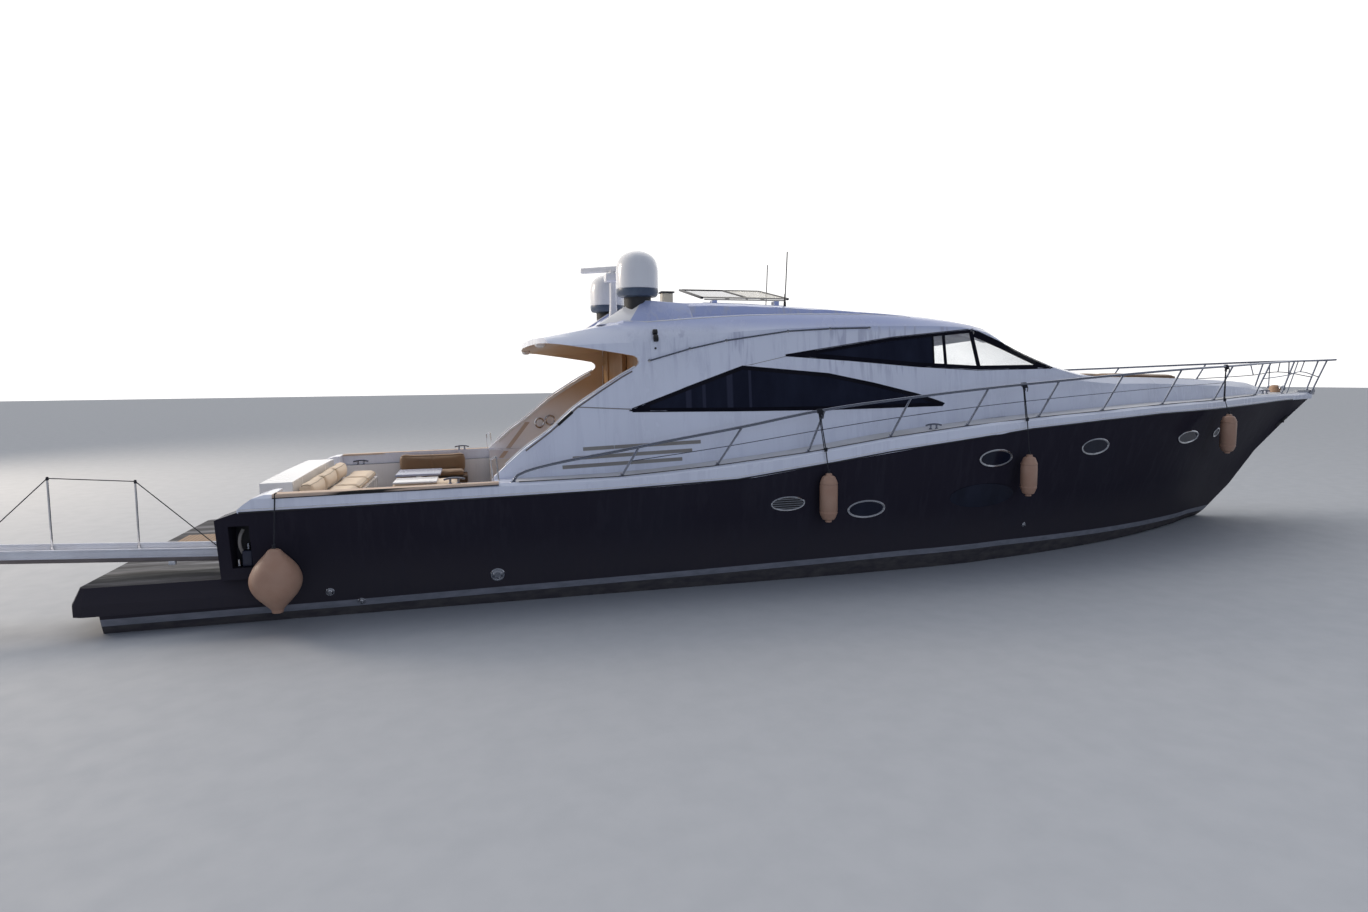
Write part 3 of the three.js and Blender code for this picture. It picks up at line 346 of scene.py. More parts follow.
DARK_GLASS = glass("dark_glass", (0.009, 0.011, 0.022), (0.018, 0.022, 0.04), 0.03, Specular_IOR_Level=0.22)
SIDE_GLASS = glass("side_glass", (0.009, 0.011, 0.024), (0.017, 0.021, 0.04), 0.03,
                   lit_bands=((8.24, 0.055), (7.62, 0.05), (7.85, 0.03), (8.55, 0.025)), Specular_IOR_Level=0.22)
SMOKED = glass("smoked_glass", (0.4, 0.235, 0.12), (0.34, 0.2, 0.1), 0.5, Specular_IOR_Level=0.05)
TINTED_GLASS = glass("tinted_glass", (0.1, 0.12, 0.17), (0.14, 0.16, 0.2), 0.02, 0.9)
CLEAR_GLASS = glass("clear_glass", (0.98, 0.99, 1.0), (0.93, 0.95, 0.96), 0.0, 1.0, slot="clear_glass")
FROSTED = glass("frosted_panel", (0.86, 0.82, 0.7), (0.8, 0.76, 0.66), 0.25, 0.45)


def metal(name, colour, tarnished, rough, tarnish, bump, slot="stainless"):
    def build(g, place):
        wear = g.group(metal_wear, Position=place, Colour=colour, Tarnish_colour=tarnished, Roughness=rough,
                       Tarnish=tarnish)
        return wear["Colour"], wear["Roughness"], g.bump(wear["Height"], bump, 0.001)
    return finish(name, slot, build, Metallic=1.0)


STEEL = metal("stainless", (0.62, 0.63, 0.66), (0.4, 0.36, 0.32), 0.1, 0.35, 0.03)
# Darker copies of the stainless for the rails and their posts: painted shade for the dark reflections of backlit
# tubes
DARKENED_STEEL = metal("steel_painted_dark", (0.26, 0.28, 0.34), (0.16, 0.16, 0.17), 0.12, 0.35, 0.02)
HALF_DARKENED_STEEL = metal("steel_painted_half_dark", (0.42, 0.44, 0.5), (0.28, 0.27, 0.27), 0.14, 0.35, 0.02)
BRONZE = metal("bronze", (0.43, 0.28, 0.12), (0.16, 0.17, 0.1), 0.3, 0.9, 0.1, "bronze")


def matt(name, slot, colour, worn, rough, scale, bump, **constants):
    def build(g, place):
        fine = g.noise(place, scale, 3)
        return (g.mix(g.span(g.noise(place, 3.0, 4), 0.38, 0.72), colour, worn),
                g.span(fine, 0.3, 0.7, rough - 0.06, rough + 0.08), g.bump(fine, bump, 0.002))
    return finish(name, slot, build, **constants)


BLACK = matt("black_plastic", "black_plastic", (0.012, 0.012, 0.014), (0.03, 0.03, 0.033), 0.42, 120, 0.12)
GASKET = matt("window_seal", "black_plastic", (0.004, 0.004, 0.009), (0.008, 0.008, 0.015), 0.3, 120, 0.02,
              Specular_IOR_Level=0.12)
RUBBER = matt("dark_rubber", "black_plastic", (0.02, 0.02, 0.022), (0.045, 0.044, 0.045), 0.6, 90, 0.2)
NAVY = matt("navy_plastic", "black_plastic", (0.02, 0.024, 0.05), (0.04, 0.045, 0.07), 0.35, 60, 0.05)
VINYL = matt("fender_vinyl", "fender_vinyl", (0.41, 0.24, 0.165), (0.47, 0.3, 0.215), 0.5, 60, 0.1, Coat_Weight=0.1,
             Coat_Roughness=0.4)
ENGINE_PAINT = matt("engine_paint", "engine", (0.5, 0.52, 0.54), (0.36, 0.37, 0.38), 0.45, 80, 0.2)
# Painted shade in brown-grey, for the ramp's lower sides and the line under each wing's edge; the ramp's rails are a
# painted highlight, as if the alloy's top caught the sky
SHADE_BROWN = matt("painted_shade_brown", "ramp_alloy", (0.17, 0.145, 0.14), (0.22, 0.19, 0.18), 0.4, 50, 0.03)
RAMP_RAIL_LIT = matt("ramp_rail_painted_highlight", "ramp_alloy", (0.86, 0.87, 0.92), (0.74, 0.74, 0.78), 0.36, 14, 0.01, Metallic=0.1,
                 Coat_Weight=0.2)
RAMP_DECK = matt("ramp_deck", "ramp_alloy", (0.62, 0.63, 0.66), (0.7, 0.7, 0.73), 0.4, 70, 0.05)
# The table top's grey-blue is painted shade on white gelcoat
TABLE_TOP_SHADED = matt("table_top", "white_gelcoat", (0.33, 0.36, 0.48), (0.4, 0.42, 0.52), 0.25, 60, 0.02)
WINDLASS_CASE = matt("windlass_case", "stainless", (0.42, 0.25, 0.15), (0.5, 0.33, 0.21), 0.5, 60, 0.1)
BULKHEAD = matt("bulkhead_veneer", "white_gelcoat", (0.4, 0.245, 0.125), (0.33, 0.2, 0.1), 0.5, 50, 0.05,
                Specular_IOR_Level=0.1)
TAN_STRIPE = matt("tan_stripe", "tan_cloth", (0.27, 0.25, 0.23), (0.32, 0.3, 0.27), 0.4, 80, 0.05)
WING_STRIP = matt("wing_strip", "tan_cloth", (0.62, 0.5, 0.41), (0.66, 0.54, 0.45), 0.5, 80, 0.05)
BLUE_BAND = matt("dome_band", "white_gelcoat", (0.065, 0.09, 0.14), (0.09, 0.12, 0.17), 0.35, 60, 0.05)
CREAM_PLASTIC = matt("cream_plastic", "white_gelcoat", (0.62, 0.56, 0.44), (0.55, 0.49, 0.38), 0.4, 60, 0.05)
FLOOR = matt("pale_floor", None, (0.42, 0.44, 0.47), (0.4, 0.42, 0.45), 0.8, 3, 0.0)


def platform_top(g, place):
    # Lighter streaks across the dark top are a painted sheen of reflected light
    painted_sheen = g.noise(g.scaled(place, (0.5, 3.2, 1)), 1.3, 5, 0.6)
    return (g.mix(g.span(painted_sheen, 0.5, 0.72), (0.02, 0.02, 0.027), (0.1, 0.1, 0.125)),
            g.span(painted_sheen, 0.4, 0.7, 0.6, 0.35), g.bump(g.noise(place, 45.0, 3), 0.12, 0.002))


PLATFORM_TOP = finish("platform_top", "hull_paint", platform_top, Specular_IOR_Level=0.15)


def cloth(name, slot, colour, faded, deep, fineness):
    def build(g, place):
        hide = g.group(hide_grain, Position=place, Colour=colour, Faded=faded, Deep=deep, Fineness=fineness)
        return hide["Colour"], hide["Roughness"], g.bump(hide["Height"], 0.25, 0.002)
    return finish(name, slot, build, Sheen_Weight=0.2, Sheen_Roughness=0.5)


CREAM = cloth("cream_cloth", "cream_cloth", (0.76, 0.59, 0.41), (0.82, 0.67, 0.5), (0.58, 0.43, 0.28), 230.0)
TAN = cloth("tan_cloth", "tan_cloth", (0.25, 0.15, 0.08), (0.32, 0.21, 0.12), (0.16, 0.09, 0.045), 230.0)
PIPING = cloth("piping", "cream_cloth", (0.45, 0.35, 0.23), (0.5, 0.4, 0.28), (0.33, 0.25, 0.16), 400.0)
TAN_PIPING = cloth("tan_piping", "tan_cloth", (0.17, 0.1, 0.05), (0.2, 0.12, 0.07), (0.1, 0.06, 0.03), 400.0)
CURTAIN = cloth("curtain_cloth", "tan_cloth", (0.34, 0.24, 0.16), (0.4, 0.29, 0.2), (0.25, 0.17, 0.11), 500.0)


def rope(g, place):
    lay = g.add("TexWave", {"Vector": place, "Scale": 55.0, "Distortion": 1.0}, bands_direction="DIAGONAL")
    lay = lay.outputs["Fac"]
    return (g.mix(lay, (0.012, 0.013, 0.018), (0.04, 0.043, 0.055)),
            g.span(g.noise(place, 160.0, 3), 0.3, 0.7, 0.7, 0.9), g.bump(lay, 0.6, 0.003))


ROPE = finish("dark_rope", "fender_vinyl", rope)


# ---- Shapes ----
def welded(bm, distance=1e-5):
    bmesh.ops.remove_doubles(bm, verts=bm.verts, dist=distance)
    return bm


def outward(bm):
    bmesh.ops.recalc_face_normals(bm, faces=bm.faces)
    return bm


def moved(bm, matrix):
    bmesh.ops.transform(bm, matrix=matrix, verts=bm.verts)
    return bm


def bevelled(bm, offset, segments=2):
    bmesh.ops.bevel(bm, geom=bm.edges[:], offset=offset, segments=segments, profile=0.5, affect="EDGES", material=-1)
    return bm


def only(kind, items):
    return [item for item in items if isinstance(item, kind)]


# Turns a shape into a mesh and frees it
def mesh_of(name, bm):
    mesh = bpy.data.meshes.new(name)
    bm.to_mesh(mesh)
    bm.free()
    return mesh


def evaluated(obj):
    return obj.evaluated_get(bpy.context.evaluated_depsgraph_get())


# A copy of a CAD node's mesh with its loose triangles merged
def merged(node):
    bm = bmesh.new()
    bm.from_mesh(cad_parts[node].data)
    return welded(bm, 2e-5)


# Makes the finished piece at the origin; paints is a list of extra materials with the faces they go on
def piece(name, bm, material, node=None, angle=32, paints=()):
    for face in bm.faces:
        face.smooth = True
    for edge in bm.edges:
        edge.smooth = len(edge.link_faces) == 2 and edge.calc_face_angle(0) < math.radians(angle)
    for index, (_, test) in enumerate(paints):
        for face in bm.faces:
            if test(face.calc_center_median(), face.normal):
                face.material_index = index + 1
    obj = linked(name, mesh_of(name, bm))
    for used in (material, *(extra for extra, _ in paints)):
        obj.data.materials.append(used)
    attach(obj, node if node in MOVING else "yacht")
    if node:
        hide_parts(node)
    return obj


# Under this angle neighbouring faces of the CAD are one flat face
FLAT = math.radians(0.2)


# A CAD node's own shape, cleaned, as its skin
def dress(node, material, angle=32, paints=()):
    bm = merged(node)
    bmesh.ops.dissolve_limit(bm, angle_limit=FLAT, verts=bm.verts, edges=bm.edges)
    bmesh.ops.triangulate(bm, faces=[face for face in bm.faces if len(face.verts) > 4])
    piece(f"{node}_skin", bm, material, node, angle=angle, paints=paints)


def block(low, high, bevel=0.01, segments=3):
    bm = bmesh.new()
    size, middle = Vector(high) - Vector(low), (Vector(high) + Vector(low)) / 2
    bmesh.ops.create_cube(bm, size=1, matrix=Matrix.Translation(middle) @ Matrix.Diagonal((*size, 1)))
    return bevelled(bm, bevel, segments)


# Turns a profile of radius and height about an axis through a place
def lathe(profile, place=(0, 0, 0), axis=UPWARD, steps=48):
    bm = bmesh.new()
    turn = Vector(UPWARD).rotation_difference(Vector(axis)).to_matrix().to_4x4()
    verts = [bm.verts.new((radius, 0, height)) for radius, height in profile]
    edges = [bm.edges.new(pair) for pair in zip(verts, verts[1:])]
    bmesh.ops.spin(bm, geom=verts + edges, cent=(0, 0, 0), axis=UPWARD, angle=2 * math.pi, steps=steps,
                   use_merge=True)
    return moved(outward(welded(bm)), Matrix.Translation(place) @ turn)


# A round pipe along points, through a curve that is made a mesh
def pipe(points, radius, sides=12, closed=False, smooth=False):
    curve = bpy.data.curves.new("pipe", "CURVE")
    curve.dimensions = "3D"
    curve.bevel_depth = radius
    curve.bevel_resolution = max(sides // 4 - 1, 0)
    curve.use_fill_caps = not closed
    curve.resolution_u = 8
    spline = curve.splines.new("BEZIER" if smooth else "POLY")
    knots = spline.bezier_points if smooth else spline.points
    knots.add(len(points) - 1)
    for knot, point in zip(knots, points):
        knot.co = point if smooth else (*point, 1)
        if smooth:
            knot.handle_left_type = knot.handle_right_type = "AUTO"
    spline.use_cyclic_u = closed
    holder = bpy.data.objects.new("pipe", curve)
    mesh = bpy.data.meshes.new_from_object(holder)
    bm = bmesh.new()
    bm.from_mesh(mesh)
    bpy.data.objects.remove(holder)
    bpy.data.curves.remove(curve)
    bpy.data.meshes.remove(mesh)
    return welded(bm)


def gather(*parts):
    whole = bmesh.new()
    for part in parts:
        mesh = mesh_of("gathered", part)
        whole.from_mesh(mesh)
        bpy.data.meshes.remove(mesh)
    return whole


# A sheet between pairs of points, with a thickness
def ribbon(pairs, thick):
    bm = bmesh.new()
    edge = bm.edges.new([bm.verts.new(point) for point in pairs[0]])
    for pair in pairs[1:]:
        edge = only(BMEdge, bmesh.ops.extrude_edge_only(bm, edges=[edge])["geom"])[0]
        for vert, point in zip(edge.verts, pair):
            vert.co = point
    outward(bm)
    bmesh.ops.solidify(bm, geom=bm.faces[:], thickness=thick)
    return outward(bm)


# A solid through rings of points
def loft(rings):
    bm = bmesh.new()
    before = None
    for ring in rings:
        verts = [bm.verts.new(point) for point in ring]
        edges = [bm.edges.new(pair) for pair in zip(verts, verts[1:] + verts[:1])]
        if before:
            bmesh.ops.bridge_loops(bm, edges=before + edges)
        else:
            bm.faces.new(verts)
        before = edges
    bm.faces.new(verts)
    return outward(bm)


# Takes the cutters out of a solid
def carved(*shapes):
    solid, *tools = [linked("loose", mesh_of("loose", shape)) for shape in shapes]
    for tool in tools:
        cut = solid.modifiers.new("cut", "BOOLEAN")
        cut.operation, cut.solver, cut.object = "DIFFERENCE", "EXACT", tool
    bm = bmesh.new()
    bm.from_mesh(bpy.data.meshes.new_from_object(evaluated(solid)))
    for obj in (solid, *tools):
        bpy.data.objects.remove(obj)
    return welded(bm, 1e-4)


# An outline in X and Z pushed through from one Y to another
def side_plate(outline, y0, y1, bevel=0.0):
    bm = bmesh.new()
    face = bm.faces.new([bm.verts.new((x, y0, z)) for x, z in outline])
    made = bmesh.ops.extrude_face_region(bm, geom=[face])["geom"]
    bmesh.ops.translate(bm, verts=only(BMVert, made), vec=(0, y1 - y0, 0))
    outward(bm)
    return bevelled(bm, bevel) if bevel else bm


# Skins as a target for what lies on them
def target(*nodes):
    return BVHTree.FromBMesh(gather(*map(merged, nodes)))


HULL_SKIN = target("hull", "deck_moulding")
HOUSE_SKIN = target("roof_moulding", "cabin_side_starboard", "cabin_side_port", "window_lower_starboard",
                    "window_lower_port", "window_upper_starboard", "window_upper_port")
INNER_SKIN = target("cabin_side_starboard", "cabin_side_port", "deck_moulding")


# The point and outward normal of a skin at x and z on one side; rays beside it help where one slips between faces
def on_side(tree, x, z, sign, lift=0.0):
    hits = [tree.ray_cast(Vector((x, sign * 6, z + miss)), Vector((0, -sign, 0)))[:2] for miss in (0, 0.004, -0.004)]
    place, normal = max((hit for hit in hits if hit[0]), key=lambda hit: sign * hit[0].y)
    return place + normal * lift, normal


# The inner face of a wing or coaming at x and z
def inner_side(x, z, sign):
    return INNER_SKIN.ray_cast(Vector((x, sign * 1.8, z)), Vector((0, sign, 0)))[0] - Vector((0, sign * 0.004, 0))


# The deck under a point
def deck_point(x, y):
    return HULL_SKIN.ray_cast(Vector((x, y, 8)), Vector((0, 0, -1)))[0]


def spaced(points, step):
    out = [points[0]]
    for (x0, z0), (x1, z1) in zip(points, points[1:]):
        count = max(int(math.hypot(x1 - x0, z1 - z0) / step), 1)
        out += [(x0 + (x1 - x0) * i / count, z0 + (z1 - z0) * i / count) for i in range(1, count + 1)]
    return out


def side_line(tree, points, sign, radius, lift=0.0, sides=8, step=0.15):
    return pipe([on_side(tree, x, z, sign, lift)[0] for x, z in spaced(points, step)], radius, sides)


# A band of a given width along a line on the house
def side_band(points, sign, width, thick=0.004, lift=0.002, step=0.12):
    path = spaced(points, step)
    pairs = []
    for i, (x, z) in enumerate(path):
        x0, z0 = path[max(i - 1, 0)]
        x1, z1 = path[min(i + 1, len(path) - 1)]
        length = math.hypot(x1 - x0, z1 - z0)
        u, v = -(z1 - z0) / length * width / 2, (x1 - x0) / length * width / 2
        pairs.append([on_side(HOUSE_SKIN, x + u * k, z + v * k, sign, lift)[0] for k in (-1, 1)])
    return ribbon(pairs, thick)


# A frame of axes on a skin, for a fitting that stands on it: X along, Y up, Z outwards
def seat_on(tree, x, z, sign):
    place, normal = on_side(tree, x, z, sign)
    along = Vector(UPWARD).cross(normal).normalized() * sign * -1
    axes = Matrix((along, normal.cross(along), normal)).transposed().to_4x4()
    return Matrix.Translation(place) @ axes


def raised(seat, height):
    return seat @ Matrix.Translation((0, 0, height))


def circle(count, width=2.0, height=2.0):
    turns = (2 * math.pi * i / count for i in range(count))
    return [(math.cos(turn) * width / 2, math.sin(turn) * height / 2) for turn in turns]


def oval_ring(seat, width, height, radius):
    return pipe([seat @ Vector((u, v, 0)) for u, v in circle(40, width, height)], radius, closed=True)


def oval_disc(seat, width, height, depth):
    bm = bmesh.new()
    face = bm.faces.new([bm.verts.new(seat @ Vector((u, v, 0))) for u, v in circle(40, width, height)])
    made = bmesh.ops.extrude_face_region(bm, geom=[face])["geom"]
    bmesh.ops.translate(bm, verts=only(BMVert, made), vec=seat.to_3x3() @ Vector((0, 0, depth)))
    return outward(bm)


# The half width and height at x in rows of x, half width and height
def between(rows, x):
    for low, high in zip(rows, rows[1:]):
        if x <= high[0]:
            share = (x - low[0]) / (high[0] - low[0])
            return [a + (b - a) * share for a, b in zip(low[1:], high[1:])]
    return rows[-1][1:]


# ---- Hull, deck and platform ----
# The deck's edge on the hull's side: x, y, z
DECK_EDGE = ((1.9, 2.62, 1.625), (4.0, 2.72, 1.65), (6.5, 2.745, 1.68), (7.8, 2.75, 1.77), (9.2, 2.752, 1.91),
             (10.45, 2.75, 2.08), (11.6, 2.745, 2.2), (13.0, 2.62, 2.3), (14.5, 2.4, 2.37), (16.1, 2.025, 2.43),
             (17.8, 1.5, 2.46), (19.5, 0.89, 2.51), (21.0, 0.35, 2.51), (22.06, 0.045, 2.5))
# The cockpit's ends and half width
WELL = (2.28, 7.06, 2.46)
# What is rounded off the aft end of the deck moulding on each quarter
DECK_END = ((1.7, 1.46), (1.9, 1.46), (1.97, 1.52), (2.07, 1.59), (2.24, 1.64), (2.3, 1.8), (1.7, 1.8))
# Portholes: name, x, z, width, height
PORTHOLES = (("porthole_a", 10.18, 1.03, 0.6, 0.26), ("porthole_b", 12.35, 1.7, 0.64, 0.26),
             ("porthole_c", 14.48, 1.78, 0.67, 0.27), ("porthole_d", 17.24, 1.8, 0.76, 0.235),
             ("porthole_e", 18.31, 1.83, 0.2, 0.17))
# Outlets in the hull: x, z, radius
OUTLETS = ((4.9, 0.41, 0.08), (2.84, 0.33, 0.045), (3.2, 0.17, 0.04), (13.2, 0.55, 0.03))
# The oval window and the vent in the hull: x, z, width, height
HULL_WINDOW = (12.18, 1.12, 1.2, 0.38)
VENT = (8.93, 1.18, 0.5, 0.2)
# How far a pane or a backing is sunk into the hull behind its rim, and how far a rim stands proud
SUNK, PROUD = 0.02, 0.004
# The joint between the dark hull and the white moulding: x, z
JOINT_LINE = ((1.92, 1.424), (4.0, 1.462), (6.24, 1.502), (8.15, 1.572), (9.52, 1.742), (10.5, 1.875),
              (11.6, 1.992), (13.0, 2.132), (14.5, 2.212), (16.0, 2.272), (17.8, 2.292), (19.14, 2.322),
              (19.93, 2.342), (20.53, 2.362), (21.21, 2.377))
# Where the teak cap on the coaming and the dark line of painted shadow along the deck's edge are laid, along X
CAP_LINE = (2.3, 2.8, 3.4, 4.0, 4.6, 4.95)
TOE_SHADOW_LINE = (5.2, 6.5, 7.8, 8.5, 9.2, 9.8, 10.45, 11.0, 11.6, 12.3, 13.0, 13.8, 14.5, 15.3, 16.1, 17.0, 17.8, 18.7,
            19.5)


# Inside the cockpit, the passages at the stern or the saloon
def inside_well(place, normal):
    return (WELL[0] < place.x < WELL[1] and abs(place.y) < WELL[2] and place.z > 0.88) or (
        1.69 < place.x < 2.32 and 1.55 < abs(place.y) < 2.12 and place.z > 0.76) or (
        7.0 < place.x < 12.95 and abs(place.y) < 2.11 and place.z > 1.5)


def build_hull():
    dress("hull", HULL_PAINT, 26, [(WHITE_PLAIN, inside_well)])
    ends = [side_plate(DECK_END, *sorted((sign * 2.05, sign * 2.9))) for _, sign in SIDES]
    piece("deck_moulding_skin", carved(merged("deck_moulding"), *ends), WHITE, "deck_moulding", angle=30, paints=[
        (NON_SKID, lambda place, normal: normal.z > 0.9 and place.z > 1.6 and place.x > 5.2)])
    dress("transom_moulding", WHITE_PLAIN)
    dress("swim_platform", HULL_PAINT, 20, [(PLATFORM_TOP, lambda place, normal: normal.z > 0.95)])
    dress("cockpit_sole", TEAK)
    dress("saloon_sole", JOINERY)
    piece("platform_teak", block((0.25, -0.85, 0.581), (1.62, 0.85, 0.587), 0.002, 1), TEAK_ACROSS)
    for side, _ in SIDES:
        dress(f"engine_{side}", ENGINE_PAINT)


build_hull()


@both
def hull_fittings(side, sign):
    for name, x, z, width, height in PORTHOLES:
        seat = seat_on(HULL_SKIN, x, z, sign)
        out = raised(seat, PROUD)
        rings = oval_ring(out, width, height, 0.011), oval_ring(out, width * 0.94, height * 0.9, 0.006)
        piece(f"{name}_{side}_rim", gather(*rings), STEEL)
        pane = oval_disc(raised(seat, -SUNK), width * 0.97, height * 0.97, SUNK + PROUD)
        piece(f"{name}_{side}_pane", pane, DARK_GLASS)
    x, z, width, height = HULL_WINDOW
    seat = seat_on(HULL_SKIN, x, z, sign)
    piece(f"hull_window_{side}", oval_disc(raised(seat, -0.03), width, height, 0.03 + PROUD), DARK_GLASS)
    x, z, width, height = VENT
    seat = seat_on(HULL_SKIN, x, z, sign)
    slats = [oval_ring(raised(seat, PROUD), width, height, 0.013)]
    for step in range(-2, 3):
        half = math.sqrt(1 - (step / 3) ** 2) * 0.24
        slats.append(pipe([seat @ Vector((k * half, step * 0.033, PROUD)) for k in (-1, 1)], 0.005, 8))
    piece(f"vent_grille_{side}", gather(*slats), STEEL)
    # A black disc behind the grille: painted shade inside the vent
    piece(f"vent_shade_back_{side}", oval_disc(raised(seat, -SUNK), width - 0.01, height - 0.01, SUNK + 0.001), BLACK)
    rings = []
    for x, z, radius in OUTLETS:
        seat = seat_on(HULL_SKIN, x, z, sign)
        rings.append(oval_ring(seat, radius * 2, radius * 2, radius * 0.16 + 0.004))
        cup = [(0, 0.01), (radius * 0.5, 0.012), (radius * 0.62, 0.03), (radius * 0.85, 0.014), (radius, 0.0)]
        rings.append(moved(lathe(cup, steps=28), seat))
    piece(f"outlets_{side}", gather(*rings), STEEL)
    piece(f"deck_joint_{side}", side_line(HULL_SKIN, JOINT_LINE, sign, 0.011, 0.002, 8, 0.2), RUBBER)
    lip = [(x, z + 0.035) for x, z in JOINT_LINE]
    piece(f"deck_lip_{side}", side_line(HULL_SKIN, lip, sign, 0.008, 0.003, 8, 0.2), WHITE_PLAIN)
    caps, seams = [], []
    for x in CAP_LINE:
        half, top = between(DECK_EDGE, x)
        lip = 0.036 - 0.024 * (x - CAP_LINE[0]) / (CAP_LINE[-1] - CAP_LINE[0])
        cap = ((0.014, -lip), (0.012, -0.006), (0.0, 0.007), (-0.17, 0.008), (-0.175, -0.02), (-0.03, -lip))
        seam = ((0.02, -lip - 0.011), (0.016, -lip), (-0.03, -lip), (-0.03, -lip - 0.011))
        for rings, section in ((caps, cap), (seams, seam)):
            rings.append([(x, sign * (half + out), top + up) for out, up in section])
    piece(f"cap_{side}", loft(caps), TEAK_CAP)
    piece(f"cap_joint_{side}", loft(seams), RUBBER)
    # The dark line just inside the deck's edge is a painted shadow of the toe rail
    toe_shadow = [(x, sign * (half - 0.03), top + 0.004) for x in TOE_SHADOW_LINE for half, top in [between(DECK_EDGE, x)]]
    piece(f"toe_shadow_line_{side}", pipe(toe_shadow, 0.006, 8), RUBBER)


# The mooring recess on each quarter: a horn, two rollers, a block and a black back that paints the recess's shade
@both
def recess(side, sign):
    def inside(low, high, bevel):
        y0, y1 = sorted((sign * low[1], sign * high[1]))
        return block((low[0], y0, low[2]), (high[0], y1, high[2]), bevel)

    piece(f"recess_shade_back_{side}", inside((1.79, 2.262, 0.74), (2.0, 2.272, 1.25), 0.002), BLACK)
    horn = [(1.9, sign * 2.4, 1.19), (1.875, sign * 2.44, 1.12), (1.865, sign * 2.44, 1.0), (1.88, sign * 2.4, 0.9)]
    piece(f"horn_{side}", pipe(horn, 0.02, smooth=True), TAN_STRIPE)
    upper = [(0, -0.02), (0.03, -0.02), (0.02, 0.0), (0.032, 0.025), (0.02, 0.05), (0, 0.055)]
    lower = [(0, -0.04), (0.028, -0.04), (0.02, -0.02), (0.02, 0.02), (0.028, 0.04), (0, 0.04)]
    rollers = [lathe(upper, (1.95, sign * 2.4, 0.97), steps=24), lathe(lower, (1.84, sign * 2.42, 0.79), steps=24)]
    piece(f"fairlead_{side}", gather(*rollers), STEEL)
    piece(f"recess_block_{side}", inside((1.88, 2.28, 0.735), (1.99, 2.44, 0.93), 0.012), NAVY)


# ---- Superstructure ----
# Outlines of the side windows' seals: x, z
WINDOW_LOW = [(6.74, 2.528), (7.6, 2.85), (8.44, 3.14), (9.79, 3.02), (10.54, 2.87), (11.3, 2.69), (11.77, 2.54),
              (11.73, 2.5), (9.79, 2.48), (8.35, 2.49)]
WINDOW_HIGH = [(9.12, 3.29), (10.86, 3.55), (12.33, 3.69), (13.91, 3.08), (12.4, 3.06), (11.32, 3.12), (10.14, 3.22)]
# The grab line along the roof's side: x, z
SEAM_LINE = [(7.066, 3.221), (7.663, 3.387), (8.212, 3.504), (9.171, 3.642), (9.849, 3.683), (10.501, 3.7)]
# The foot of the roof's upper tier from the starboard side round its aft end: x, y, depth below the CAD's skin
TIER = ((11.3, -1.6, 0.004), (10.4, -1.6, 0.04), (9.5, -1.6, 0.07), (8.6, -1.61, 0.1), (7.9, -1.62, 0.112),
        (7.4, -1.63, 0.115), (7.14, -1.62, 0.112), (6.97, -1.55, 0.1), (6.82, -1.35, 0.06), (6.7, -1.0, 0.055),
        (6.62, -0.5, 0.055), (6.6, 0, 0.055))
# The wings' aft edge from the foot up, and the notch's rounded tip under the roof
WING_EDGE = ((5.06, 1.84), (5.3, 2.05), (5.644, 2.29), (6.016, 2.608), (6.361, 2.834), (6.652, 3.013), (6.8, 3.092))
NOTCH = (*WING_EDGE[1:], (6.87, 3.137), (6.905, 3.172), (6.915, 3.21), (6.9, 3.252), (6.85, 3.286), (6.76, 3.302),
         (6.68, 3.31), (6.2, 3.2), (5.3, 2.35))
# The seals: how far in the lower one lies, both widths, and how far seals and bars stand off the glass
SEAL_INSET, LOWER_SEAL, UPPER_SEAL = 0.026, 0.055, 0.03
SEAL_LIFT, BAR_LIFT, TIP_LIFT = 0.004, 0.006, 0.008
# Where the upper window's dark pane meets its clear one
PANE_SPLIT = 11.6
# Black borders and posts on the upper window: ends and width
UPPER_BARS = (([(9.4, 3.3), (10.14, 3.24), (11.32, 3.145), (12.4, 3.09), (13.6, 3.1)], 0.06),
              ([(12.36, 3.625), (12.9, 3.428), (13.35, 3.254), (13.7, 3.122)], 0.1),
              ([(9.4, 3.3), (10.86, 3.52), (12.3, 3.655)], 0.035), ([(PANE_SPLIT, 3.13), (PANE_SPLIT, 3.6)], 0.03),
              ([(11.815, 3.11), (11.79, 3.62)], 0.055), ([(12.43, 3.1), (12.3, 3.66)], 0.075),
              ([(13.66, 3.105), (13.76, 3.1)], 0.05))
# Black fills in the windows' pointed ends: x, low and high z
LOWER_TIPS = {"lower_tip": ((6.75, 2.528, 2.534), (6.9, 2.512, 2.585), (7.05, 2.51, 2.645))}
UPPER_TIPS = {"upper_tip_aft": ((9.11, 3.288, 3.294), (9.3, 3.272, 3.33), (9.6, 3.26, 3.37)),
              "upper_tip_forward": ((13.58, 3.082, 3.178), (13.75, 3.072, 3.115), (13.87, 3.062, 3.07))}
# Three tan stripes on the aft side: ends as x, z
STRIPES = (((6.09, 2.027), (7.77, 2.073)), ((5.945, 1.906), (7.64, 1.957)), ((5.803, 1.79), (7.49, 1.84)))
# The pale strip inside each wing: above the coaming's step and below it
INNER_STRIPS = (((5.621, 2.165), (5.468, 1.966), (5.315, 1.768), (5.25, 1.682)),
                ((5.208, 1.638), (5.15, 1.564), (5.11, 1.512)))


def lined(place, normal):
    inward = normal.y * (1 if place.y > 0 else -1) < -0.35
    return place.x < 7.08 and place.z > 1.7 and (normal.z < -0.4 or inward)


